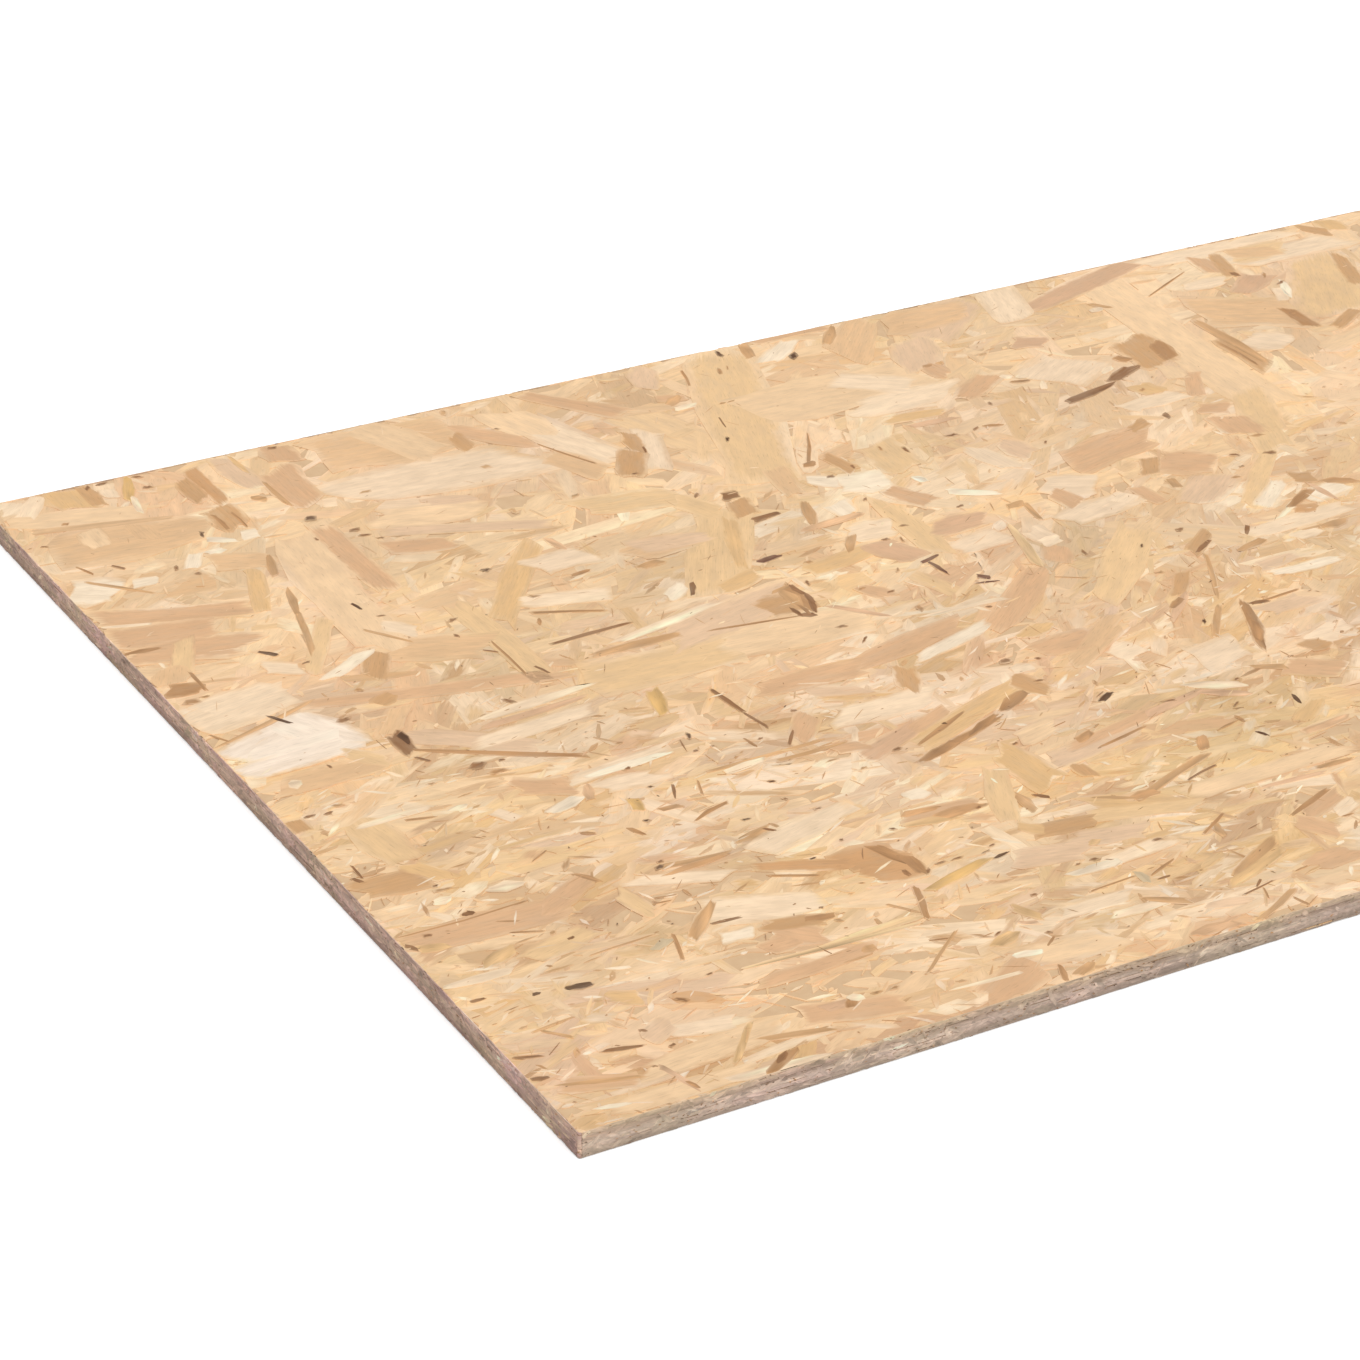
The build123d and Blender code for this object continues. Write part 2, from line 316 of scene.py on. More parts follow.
# Bits of bark and knot, read the same way: the middle's two coordinates, the length, the width and the angle.
LAID_FLECKS: dict[Wood, tuple[Five, ...]] = {
    Wood.BARK: (
        (-478, 216, 6, 5, 0), (-530, 225, 6, 2.5, 70), (-207, 298, 8, 4, 70), (-258, 200.5, 7, 2.5, 68),
        (-174, 277, 8, 4, 70), (-430, 126, 5, 4, 0), (-148.5, -0.5, 4, 2, 60), (-427.5, -61.5, 5, 2.5, 60),
        (-463.5, -93, 2.5, 2, 0), (-478.5, -117, 3, 2, 0), (-417, -113.5, 3, 2, 0),
        (-442.5, -136, 3.5, 2.5, 0), (-492.5, -153, 4, 3, 0), (-435, -177, 3.5, 2, 0),
        (-326, -105, 2.5, 2.5, 0), (-170, -79.5, 5, 2.5, 65),
    ),
    Wood.UMBER: (
        (-532, 287, 4, 3, 0), (-558, 300, 6, 3, 60), (-550, 302, 5, 2, 0), (-532, 301, 5, 3, 0),
        (-485, 194, 4, 1.5, 90), (-464.5, 195, 5, 4, 0), (-463, 187, 6, 3, 0), (-458, 181, 3, 2, 0),
        (-555, 197, 5, 2, 75), (-548, 187, 2.5, 2.5, 0), (-600, 248, 3, 2, 0), (-317.5, 186.5, 4, 2, 0),
        (-220.5, 142, 5, 2, 80), (-236, 137.5, 4, 3, 0), (-304, 150, 6, 2, 50), (-157, 151, 6, 4, 0),
        (-142, 152, 4, 2, 45), (-186.5, 147, 8, 2.5, 80), (112, 237, 5, 2.5, 40), (-118.5, 175, 4, 2, 60),
        (-493, 106, 4, 2, 0), (-542, 80, 3.5, 1.8, 0), (-466.5, 86.5, 5, 4, 0), (-472, 71.5, 4, 2, 90),
        (-480, 4.5, 6, 2.5, -60), (-550, 23.5, 6, 4, 0), (-573, -12, 4, 1.5, 90), (-518, -41, 8, 6, 0),
        (-507, -42, 3, 2, 0), (-598, -47, 5, 2, 0), (-590, -48, 4, 2, 0), (-250.5, 64, 4, 3, 0),
        (-235, 72.5, 4, 2.5, 0), (-199.5, 78, 4, 2, 0), (-235, 107, 4, 2, 60), (-306.5, 41.5, 5, 2, 80),
        (-176.5, 7, 5, 1.5, 80), (-278, 15, 4, 2.5, 0), (-316, -4.5, 5, 3, 0), (-314, -20.5, 6, 1.5, 40),
        (-247, -19.5, 2.5, 2.5, 0), (-31, 57, 6, 5, 0), (-48, 63, 5, 4, 0), (-53, 50, 3, 2, 0),
        (-48.5, 118.5, 6, 4, 60), (-121, 121, 4, 1.5, 50), (-122.5, 5.5, 4, 3, 0), (-597, -155, 4, 3, 0),
        (-408, -205, 5, 3, 90), (-464, -74, 3, 2, 0), (-431.5, -75, 3, 2, 0), (-423, -74.5, 2, 2, 0),
        (-402, -78.5, 3, 2, 0), (-412, -142.5, 4, 2, 0), (-419.5, -128.5, 2.5, 2.5, 0),
        (-417, -169.5, 2, 2, 0), (-394, -172, 3, 2.5, 0), (-490, -149, 3, 2, 0), (-577.5, -122.5, 3, 2, 0),
        (-376.5, -63.5, 2.5, 2.5, 0), (-452, -211.5, 2, 2, 0), (-270.5, -69, 6, 4, 0),
        (-268, -91.5, 4, 2, 0), (-356, -115, 5, 3, 0), (-191, -132.5, 3, 2, 0), (-353.5, -174, 3, 2, 0),
        (-229, -134.5, 6, 2, 0), (-205.5, -151.5, 5, 1.5, 30), (-256.5, -73.5, 3, 2, 0),
        (-309.5, -135, 3, 2, 0), (-515, -233, 4, 1.5, 10), (-533.5, -244, 5, 3, -20),
        (-384, -271, 3, 2, 0), (-402, -262, 4, 1.2, 20), (-373, -244, 3, 2, 0), (-556.5, -256, 3, 2, -60),
        (-552, -270, 3, 1.5, 30), (-564.5, -279.5, 2.5, 1.5, 0), (-344, -232.5, 3, 1.5, 0),
        (-336, -232.5, 4, 2, 0), (-331, -235.5, 4, 1.5, -30), (-304.5, -232, 5, 2, 0),
        (-352.5, 267.5, 4, 3, -40), (-460, 301, 6, 4, 0), (-392, -204.5, 5, 1.4, 5),
        (-384, -205, 5, 1.4, 0), (-371, -206, 5, 1.2, 10), (-366, -203, 4, 1.2, 15),
        (-400, -208, 5, 1.8, 60),
    ),
    Wood.BROWN: (
        (-582, 267, 4, 3, 0), (-218, 278, 8, 2.5, 75), (-212, 280, 5, 1.5, 80), (-237.5, 241, 4, 1.5, 0),
        (-232.5, 241, 4, 1.5, 0), (-197, 154, 6, 2, 80), (-40.5, 152, 4, 3, 0), (110, 250, 8, 2.5, 65),
        (-120, 232, 5, 3, 0), (-423, 90, 5, 3, 0), (-532.5, 45, 3, 3, 0), (-542, -46, 4, 2, 0),
        (-243.5, 60, 6, 1.5, 75), (-295, 60, 4, 4, 0), (-158, -28, 4, 2.5, 0), (-138, -8, 4, 2, 0),
        (-288, 24, 4, 2, 0), (-263, 33, 5, 1.5, 60), (-275.5, -6, 6, 2.5, 80), (-63.5, 41, 5, 2.5, 0),
        (-24, 77, 7, 3, 0), (-576, -126.5, 8, 2.5, 0), (-377, -122, 3, 2, 0), (-385, -110, 6, 1.5, 0),
        (-212, -163, 6, 2, 90), (-466, -275.5, 4, 1.5, 0), (-458, -276, 4, 2, 30),
        (-512.5, -50, 8, 4, -20), (-584, -44, 5, 2.5, -30), (-594, 72, 4, 2, 0), (-601, 70, 8, 5, 0),
        (91, 198, 6, 4, 70),
    ),
    Wood.TAN: (
        (-442, 231, 6, 2.5, 0), (-378, 229, 6, 5, -20), (-389, 177, 6, 4, 60), (-355, 178, 6, 3, 30),
        (-367, 299, 6, 3, 70), (-112, 232, 5, 3, 30), (-86, 231, 5, 3, 20),
    ),
}


def linear(code: str) -> np.ndarray:
    """Turns an sRGB hex colour into linear red, green and blue.

    Args:
        code: Six hex digits.

    Returns:
        Three linear values from 0 to 1.
    """
    srgb = np.array([int(code[i:i + 2], 16) for i in (0, 2, 4)]) / 255.0
    return np.where(srgb <= 0.04045, srgb / 12.92, ((srgb + 0.055) / 1.055) ** 2.4)


def rgba(code: str) -> tuple[float, float, float, float]:
    """Gives a hex colour as the four linear numbers a colour socket takes."""
    return (*(float(v) for v in linear(code)), 1.0)


def add(tree: Tree, kind: str, inputs: dict | None = None, **settings: object) -> bpy.types.Node:
    """Adds one node with its settings, and fills its inputs with values or links.

    Args:
        tree: The node tree that gets the node.
        kind: Blender's name of the node type.
        inputs: Input name or number to a value, or to the socket that feeds it.
        **settings: The node's own properties.

    Returns:
        The new node.
    """
    node = tree.nodes.new(kind)
    for key, value in settings.items():
        setattr(node, key, value)
    for key, value in (inputs or {}).items():
        if isinstance(value, Socket):
            tree.links.new(value, node.inputs[key])
        else:
            node.inputs[key].default_value = value
    return node


def blank_material(name: str) -> tuple[Material, Tree]:
    """Makes a material with an empty node tree, and gives both."""
    material = bpy.data.materials.new(name)
    material.use_nodes = True
    material.node_tree.nodes.clear()
    return material, material.node_tree


@dataclass(frozen=True)
class StrandFinish:
    """Aspen and pine strands, knife-flaked along the grain, waxed and hot-pressed, or sawn at an edge.

    The eye gets matt wood whose tone changes from strand to strand, with fine streaks and a few dark hairs
    along each strand, and sides and ends that fray into the bed round them. The veil is how far the bed shows
    through a strand's thin patches, and the gloss is the wax's share of a full shine. A span holds the noise
    values between which an effect runs through its whole range.
    """

    name: str
    streak_mm: Pair
    blotch_mm: Pair
    hair_mm: Pair
    streak_depth: float
    blotch_depth: float
    hair_depth: float
    fray: float
    roughness: Pair
    relief_mm: float
    curl_mm: Pair = (7.0, 3.0)
    end_share: float = 0.4
    side_share: float = 0.4
    veil: float = 0.4
    gloss: float = 0.2
    noise_grit: float = 0.55
    streak_lift: float = 0.7
    streak_span: Pair = (0.28, 0.72)
    blotch_span: Pair = (0.3, 0.7)
    veil_span: Pair = (0.35, 0.62)
    hair_span: Pair = (0.62, 0.8)

    def drawn_out(self, tree: Tree, size_mm: Pair, detail: float = 2.0) -> Socket:
        """Adds a noise pattern drawn out along the grain map, which is laid out in metres.

        Args:
            tree: The material's tree.
            size_mm: The pattern's length along the grain and width across it.
            detail: How many finer octaves it has.

        Returns:
            The pattern's value, about 0.5 in the middle.
        """
        grain = add(tree, "ShaderNodeUVMap", uv_map="grain")
        scale = (1.0 / (size_mm[0] * MM), 1.0 / (size_mm[1] * MM), 1.0)
        place = add(tree, "ShaderNodeMapping", {"Vector": grain.outputs["UV"], "Scale": scale})
        inputs = {
            "Vector": place.outputs["Vector"],
            "Scale": 1.0,
            "Detail": detail,
            "Roughness": self.noise_grit,
        }
        return add(tree, "ShaderNodeTexNoise", inputs, noise_dimensions="2D").outputs["Fac"]

    def inside(self, tree: Tree, streak: Socket) -> Socket:
        """Gives 0 on a strand's rim and 1 within it: the ends fray along the streaks, and the sides wander.

        Args:
            tree: The material's tree.
            streak: The streak pattern.

        Returns:
            The share of the strand's own tone.
        """
        rim = add(tree, "ShaderNodeUVMap", uv_map="rim")
        split = add(tree, "ShaderNodeSeparateXYZ", {"Vector": rim.outputs["UV"]})
        curl = self.drawn_out(tree, self.curl_mm)
        outermost = 1.0 + 0.5 * self.fray
        shares = []
        for axis, reach, pattern in (("X", self.end_share, streak), ("Y", self.side_share, curl)):
            from_middle = {0: split.outputs[axis], 1: 2.0, 2: -1.0}
            centred = add(tree, "ShaderNodeMath", from_middle, operation="MULTIPLY_ADD")
            off = add(tree, "ShaderNodeMath", {0: centred.outputs[0]}, operation="ABSOLUTE")
            torn = {0: pattern, 1: self.fray, 2: off.outputs[0]}
            frayed = add(tree, "ShaderNodeMath", torn, operation="MULTIPLY_ADD")
            limits = {"Value": frayed.outputs[0], "From Min": outermost, "From Max": outermost - reach}
            share = add(tree, "ShaderNodeMapRange", limits, interpolation_type="SMOOTHSTEP")
            shares.append(share.outputs["Result"])
        return add(tree, "ShaderNodeMath", dict(enumerate(shares)), operation="MINIMUM").outputs[0]

    def material(self) -> Material:
        """Builds the finish: each strand's own tone, streaked along its grain, frayed into what it lies on.

        Returns:
            The material, which reads the piece's tone and ground attributes and its grain and rim maps. The
            tone's alpha says how crisp a strand's outline is, and the ground's how strong its streaks are.
        """
        material, tree = blank_material(self.name)
        tone, ground = (
            add(tree, "ShaderNodeAttribute", attribute_name=label, attribute_type="GEOMETRY").outputs
            for label in ("tone", "ground")
        )
        streak = self.drawn_out(tree, self.streak_mm)
        blotch = self.drawn_out(tree, self.blotch_mm)
        hair = self.drawn_out(tree, self.hair_mm, 1.0)
        effects = {
            "own": (self.inside(tree, streak), (0.0, 1.0), (tone["Alpha"], 1.0)),
            "clear": (blotch, self.veil_span, (1.0 - self.veil, 1.0)),
            "swing": (streak, self.streak_span, (-self.streak_depth, self.streak_lift * self.streak_depth)),
            "blotched": (blotch, self.blotch_span, (1.0 - self.blotch_depth, 1.0 + self.blotch_depth)),
            "hairy": (hair, self.hair_span, (1.0, 1.0 - self.hair_depth)),
            "rough": (blotch, self.blotch_span, self.roughness),
        }
        given = {}
        for label, (value, span, result) in effects.items():
            limits = dict(zip(("From Min", "From Max", "To Min", "To Max"), (*span, *result)))
            given[label] = add(tree, "ShaderNodeMapRange", {"Value": value, **limits}).outputs["Result"]
        shown = add(tree, "ShaderNodeMath", {0: given["own"], 1: given["clear"]}, operation="MULTIPLY")
        tones = {0: shown.outputs[0], 6: ground["Color"], 7: tone["Color"]}
        base = add(tree, "ShaderNodeMix", tones, data_type="RGBA")
        streaked = {0: given["swing"], 1: ground["Alpha"], 2: 1.0}
        value = add(tree, "ShaderNodeMath", streaked, operation="MULTIPLY_ADD").outputs[0]
        for label in ("blotched", "hairy"):
            factors = {0: value, 1: given[label]}
            value = add(tree, "ShaderNodeMath", factors, operation="MULTIPLY").outputs[0]
        colour = add(tree, "ShaderNodeHueSaturation", {"Value": value, "Color": base.outputs[2]})
        relief = {"Height": streak, "Strength": 1.0, "Distance": self.relief_mm * MM}
        skin = add(
            tree,
            "ShaderNodeBsdfPrincipled",
            {
                "Base Color": colour.outputs["Color"],
                "Roughness": given["rough"],
                "Normal": add(tree, "ShaderNodeBump", relief).outputs["Normal"],
                "IOR": WOOD_IOR,
                "Specular IOR Level": self.gloss,
            },
        )
        add(tree, "ShaderNodeOutputMaterial", {"Surface": skin.outputs["BSDF"]})
        return material


@dataclass(frozen=True)
class CoreFinish:
    """The glued mat under the outer strands, which shows only as the brown of the gaps between them."""

    name: str
    light: str
    dark: str
    patch_mm: float
    relief_mm: float = 0.2
    relief_strength: float = 0.6
    roughness: float = 0.8

    def material(self) -> Material:
        """Builds the finish: two browns in soft patches on the board's own coordinates.

        Returns:
            The material.
        """
        material, tree = blank_material(self.name)
        place = add(tree, "ShaderNodeTexCoord")
        pattern = {"Vector": place.outputs["Object"], "Scale": 1.0 / (self.patch_mm * MM), "Detail": 3.0}
        patch = add(tree, "ShaderNodeTexNoise", pattern).outputs["Fac"]
        tones = {0: patch, 6: rgba(self.dark), 7: rgba(self.light)}
        relief = {"Height": patch, "Strength": self.relief_strength, "Distance": self.relief_mm * MM}
        skin = add(
            tree,
            "ShaderNodeBsdfPrincipled",
            {
                "Base Color": add(tree, "ShaderNodeMix", tones, data_type="RGBA").outputs[2],
                "Roughness": self.roughness,
                "Normal": add(tree, "ShaderNodeBump", relief).outputs["Normal"],
                "IOR": WOOD_IOR,
            },
        )
        add(tree, "ShaderNodeOutputMaterial", {"Surface": skin.outputs["BSDF"]})
        return material


@dataclass(frozen=True)
class Ground:
    """The colour of a face with its strands blurred away, which drifts paler, darker, pinker or yellower.

    The waves' count is how many cosine waves make up the drift, and pinker is what they do to red, green and
    blue.
    """

    seed: int
    wave_mm: Pair
    light: float
    blush: float

    waves = 10
    pinker = (0.2, -0.3, 0.6)

    def plain(self, b: np.ndarray) -> np.ndarray:
        """Gives the linear colours that the drift goes round, for distances across the face."""
        raise NotImplementedError

    def drift(self, a: np.ndarray, b: np.ndarray) -> np.ndarray:
        """Gives the local colour as a share of the plain one.

        Lightness and pinkness are each a sum of cosine waves in many directions, with lengths between the two
        limits. The share is 1 plus the lightness, times 1 plus the pinkness, which adds blue and a little red
        and takes green away.

        Args:
            a: Distances along the face.
            b: Distances across it.

        Returns:
            Shares of red, green and blue, on a last axis of three.
        """
        rng = np.random.default_rng(self.seed)
        shortest, longest = (math.log(limit) for limit in self.wave_mm)
        sums = []
        for _ in range(2):
            total = np.zeros(np.broadcast(a, b).shape)
            for _ in range(self.waves):
                way, start = rng.uniform(0.0, 2 * math.pi, 2)
                wave = math.exp(rng.uniform(shortest, longest))
                total += np.cos(2 * math.pi * (a * math.cos(way) + b * math.sin(way)) / wave + start)
            sums.append(total[..., None] * math.sqrt(2.0 / self.waves))
        return (1.0 + self.light * sums[0]) * (1.0 + self.blush * sums[1] * np.array(self.pinker))

    def colour(self, a: np.ndarray, b: np.ndarray) -> np.ndarray:
        """Gives the local linear colours: the plain ones times the drift."""
        return self.plain(b) * self.drift(a, b)


@dataclass(frozen=True)
class FaceGround(Ground):
    """The colour of a pressed face, which goes round one mean wood."""

    mean: Wood

    def plain(self, b: np.ndarray) -> np.ndarray:
        """Gives the mean wood's colour, at any distance across."""
        return linear(self.mean.value)


@dataclass(frozen=True)
class LayeredGround(Ground):
    """The colour of a sawn edge, which changes from layer to layer of the pressed mat."""

    layers: tuple[tuple[float, str], ...]
    half_height: float

    def plain(self, b: np.ndarray) -> np.ndarray:
        """Gives the layers' tones, joined by straight lines over the height.

        Args:
            b: Heights from the edge's middle line.

        Returns:
            Linear colours, on a last axis of three.
        """
        share = (b / self.half_height + 1.0) / 2.0
        heights = [height for height, _ in self.layers]
        tones = np.array([linear(code) for _, code in self.layers])
        return np.stack([np.interp(share, heights, tones[:, i]) for i in range(3)], axis=-1)


@dataclass(frozen=True)
class FacePlane:
    """One flat side of the board: an origin and three axes, along, across and outwards. In millimetres."""

    origin: Triple
    along: Triple
    across: Triple
    outward: Triple
    reach: Pair
    corner: float = 0.0

    def world(self, a: np.ndarray, b: np.ndarray, c: np.ndarray) -> np.ndarray:
        """Places points of the plane in the board's frame: origin plus each coordinate times its axis.

        Args:
            a: Distances along.
            b: Distances across.
            c: Heights over the plane.

        Returns:
            Points in metres, with a last axis of three.
        """
        axes = np.array([self.along, self.across, self.outward])
        return (np.array(self.origin) + np.stack([a, b, c], axis=-1) @ axes) * MM

    def held(self, a: np.ndarray, b: np.ndarray) -> tuple[np.ndarray, np.ndarray]:
        """Brings points past the outline back onto it, round its corners too.

        Args:
            a: Distances along.
            b: Distances across.

        Returns:
            Both, held.
        """
        a = np.clip(a, -self.reach[0], self.reach[0])
        b = np.clip(b, -self.reach[1], self.reach[1])
        over_a = np.maximum(np.abs(a) - (self.reach[0] - self.corner), 0.0)
        over_b = np.maximum(np.abs(b) - (self.reach[1] - self.corner), 0.0)
        far = np.hypot(over_a, over_b)
        pull = np.where(far > self.corner, 1.0 - self.corner / np.maximum(far, TINY), 0.0)
        return a - np.sign(a) * over_a * pull, b - np.sign(b) * over_b * pull


@dataclass(frozen=True)
class CornerBend(FacePlane):
    """A sawn corner, rolled round its upright axis, so that distances along it run round the arc."""

    radius: float = 1.0

    def world(self, a: np.ndarray, b: np.ndarray, c: np.ndarray) -> np.ndarray:
        """Places points of the bend: radius plus height, turned by the distance along over the radius.

        Args:
            a: Distances round the arc.
            b: Distances across.
            c: Heights over the arc.

        Returns:
            Points in metres, with a last axis of three.
        """
        turn = (a / self.radius)[..., None]
        way = np.cos(turn) * np.array(self.outward) + np.sin(turn) * np.array(self.along)
        spot = np.array(self.origin) + (self.radius + c)[..., None] * way
        return (spot + b[..., None] * np.array(self.across)) * MM


@dataclass(frozen=True)
class Cut:
    """How one class of strand was cut and pressed, with its mesh grid. Sizes in millimetres or shares.

    The ends are the shares of the width that are left there, over the taper's share of the length. Ragged
    is how far the sides wander, crisp how clear the outline is, figure how strong the streaks are, and
    patchy how much the tone changes within a strand. The margin is the share of the length and of the
    width that the frayed rim may take at each end and side. An end is cut slanting and splintered, no
    further than the end reach, which is a share of the length, of the width and of the margin.
    """

    ends: Pair
    ragged: float
    crisp: Pair
    stations: int
    columns: int
    margin: Pair = (0.5, 0.5)
    thick: Pair = (0.25, 0.45)
    bow: float = 0.012
    tilt: Pair = (0.02, 0.015)
    figure: Pair = (0.3, 1.4)
    patchy: float = 0.03
    taper: float = 0.22
    wander: Pair = (-1.0, 0.6)
    splinter: float = 0.6
    slant: float = 0.5
    end_reach: Triple = (0.12, 0.4, 0.7)

    @staticmethod
    def spaced(count: int, margin: float) -> tuple[np.ndarray, np.ndarray]:
        """Spaces the grid's points from 0 to 1, with the second and last but one at the margin.

        Args:
            count: How many points.
            margin: The rim's share, where a half means that the rim reaches the middle.

        Returns:
            The points' places, and the rim map's values there, which stay at a half past the rim.
        """
        even = np.linspace(0.0, 1.0, count)
        if margin == 0.5:
            return even, even
        inner = np.linspace(margin, 1.0 - margin, count - 2)
        within = np.full(count - 2, 0.5)
        return np.concatenate([[0.0], inner, [1.0]]), np.concatenate([[0.0], within, [1.0]])


@dataclass
class Wafers:
    """A heap of thin strands on one face, one entry each, in millimetres and radians on that face."""

    cut: Cut
    centre: np.ndarray
    length: np.ndarray
    width: np.ndarray
    angle: np.ndarray
    level: np.ndarray
    tone: np.ndarray
    ends: np.ndarray

    @staticmethod
    def ends_of(cut: Cut, count: int, rng: np.random.Generator) -> np.ndarray:
        """Draws the share of its width that each strand keeps at its start and at its end."""
        return rng.uniform(*cut.ends, (count, 2))

    def sawn(self, reach: Pair, shortest: float) -> Wafers:
        """Cuts every strand where its middle line leaves the face, and drops what is left too short.

        Args:
            reach: Half the face's length and width.
            shortest: The shortest strand kept.

        Returns:
            The strands that lie on the face.
        """
        way = np.stack([np.cos(self.angle), np.sin(self.angle)], axis=1)
        safe = np.where(np.abs(way) < TINY, TINY, way)
        one = (-np.array(reach) - self.centre) / safe
        two = (np.array(reach) - self.centre) / safe
        first = np.maximum(np.minimum(one, two).max(axis=1), -self.length / 2)
        last = np.minimum(np.maximum(one, two).min(axis=1), self.length / 2)
        cut_off = np.stack([first > -self.length / 2 + TINY, last < self.length / 2 - TINY], axis=1)
        trimmed = replace(
            self,
            centre=self.centre + way * ((first + last) / 2)[:, None],
            length=last - first,
            ends=np.where(cut_off, 1.0, self.ends),
        )
        kept = last - first > shortest
        arrays = {name: value[kept] for name, value in vars(trimmed).items() if isinstance(value, np.ndarray)}
        return replace(trimmed, **arrays)


class Bed:
    """The tones that show on one face while it is laid, strand over strand, kept on a grid of small cells."""

    soft_rim = 0.35

    def __init__(self, plane: FacePlane, ground: Ground, cell_mm: float) -> None:
        """Starts the bed as the bare ground tone.

        Args:
            plane: The face.
            ground: Its ground tone.
            cell_mm: The cells' size.
        """
        self.plane = plane
        self.ground = ground
        self.cell_mm = cell_mm
        self.a = np.arange(-plane.reach[0], plane.reach[0] + cell_mm, cell_mm)
        self.b = np.arange(-plane.reach[1], plane.reach[1] + cell_mm, cell_mm)
        self.tones = ground.colour(self.a[None, :], self.b[:, None])

    def lay(self, heap: Wafers, a: np.ndarray, b: np.ndarray, crisp: np.ndarray) -> np.ndarray:
        """Lays strands over the bed from the lowest up.

        Args:
            heap: The strands.
            a: Distances along of every strand's points, with the strands on the first axis.
            b: Distances across.
            crisp: How crisp each strand's outline is.

        Returns:
            The tone that showed at each point just before its strand was laid.
        """
        column = np.clip(np.rint((a - self.a[0]) / self.cell_mm).astype(int), 0, len(self.a) - 1)
        row = np.clip(np.rint((b - self.b[0]) / self.cell_mm).astype(int), 0, len(self.b) - 1)
        found = np.empty((*a.shape, 3))
        for i in np.argsort(heap.level, kind="stable"):
            found[i] = self.tones[row[i], column[i]]
            if heap.width[i] > self.cell_mm:
                rows = slice(row[i].min(), row[i].max() + 1)
                columns = slice(column[i].min(), column[i].max() + 1)
                self.press(heap, i, float(crisp[i]), rows, columns)
        return found

    def press(self, heap: Wafers, i: int, crisp: float, rows: slice, columns: slice) -> None:
        """Presses one strand's tone into the cells that it covers, weaker over the soft share at its rim.

        Args:
            heap: The strands.
            i: The strand's number.
            crisp: The weight at its rim.
            rows: The cells' rows that it may cover.
            columns: Their columns.
        """
        x = self.a[columns][None, :] - heap.centre[i, 0]
        y = self.b[rows][:, None] - heap.centre[i, 1]
        cos, sin = math.cos(heap.angle[i]), math.sin(heap.angle[i])
        along = np.abs(x * cos + y * sin) * 2 / heap.length[i]
        across = np.abs(y * cos - x * sin) * 2 / heap.width[i]
        inward = 1.0 - np.maximum(along, across)
        full = np.clip(inward / self.soft_rim, 0.0, 1.0)
        weight = np.where(inward > 0.0, crisp + (1.0 - crisp) * full, 0.0)
        patch = self.tones[rows, columns]
        patch += weight[..., None] * (heap.tone[i] - patch)


@dataclass
class Layer:
    """A heap of strands and the bed that it is laid on."""

    heap: Wafers
    bed: Bed


@dataclass
class Shell:
    """Mesh arrays of one heap: points, quads, and what each point carries."""

    points: np.ndarray
    quads: np.ndarray
    tone: np.ndarray
    ground: np.ndarray
    grain: np.ndarray
    rim: np.ndarray
    cell: np.ndarray


def wafer_quads(stations: int, columns: int) -> np.ndarray:
    """Gives the quads of one closed wafer, whose points run station by station, top sheet first, then bottom.

    The bottom comes first, then the four sides, and the top last.

    Args:
        stations: Points along the strand.
        columns: Points across it.

    Returns:
        Quads of point numbers, all facing outwards.
    """
    top = np.arange(stations * columns).reshape(stations, columns)
    low = top + stations * columns
    near, far = top[:-1, :], top[1:, :]
    under = np.stack([low[:-1, :-1], low[:-1, 1:], low[1:, 1:], low[1:, :-1]], axis=-1).reshape(-1, 4)
    right = np.stack([far[:, 0], near[:, 0], low[:-1, 0], low[1:, 0]], axis=-1)
    left = np.stack([near[:, -1], far[:, -1], low[1:, -1], low[:-1, -1]], axis=-1)
    start = np.stack([top[0, :-1], top[0, 1:], low[0, 1:], low[0, :-1]], axis=-1)
    finish = np.stack([top[-1, 1:], top[-1, :-1], low[-1, :-1], low[-1, 1:]], axis=-1)
    over = np.stack([near[:, :-1], far[:, :-1], far[:, 1:], near[:, 1:]], axis=-1).reshape(-1, 4)
    return np.concatenate([under, right, left, start, finish, over])


# How far apart in metres two strands may lie on the grain map, and the share of its bake rectangle that a
# strand's hidden lower sheet takes.
GRAIN_SHIFT = 4.0
LOWER_SHARE = 0.9


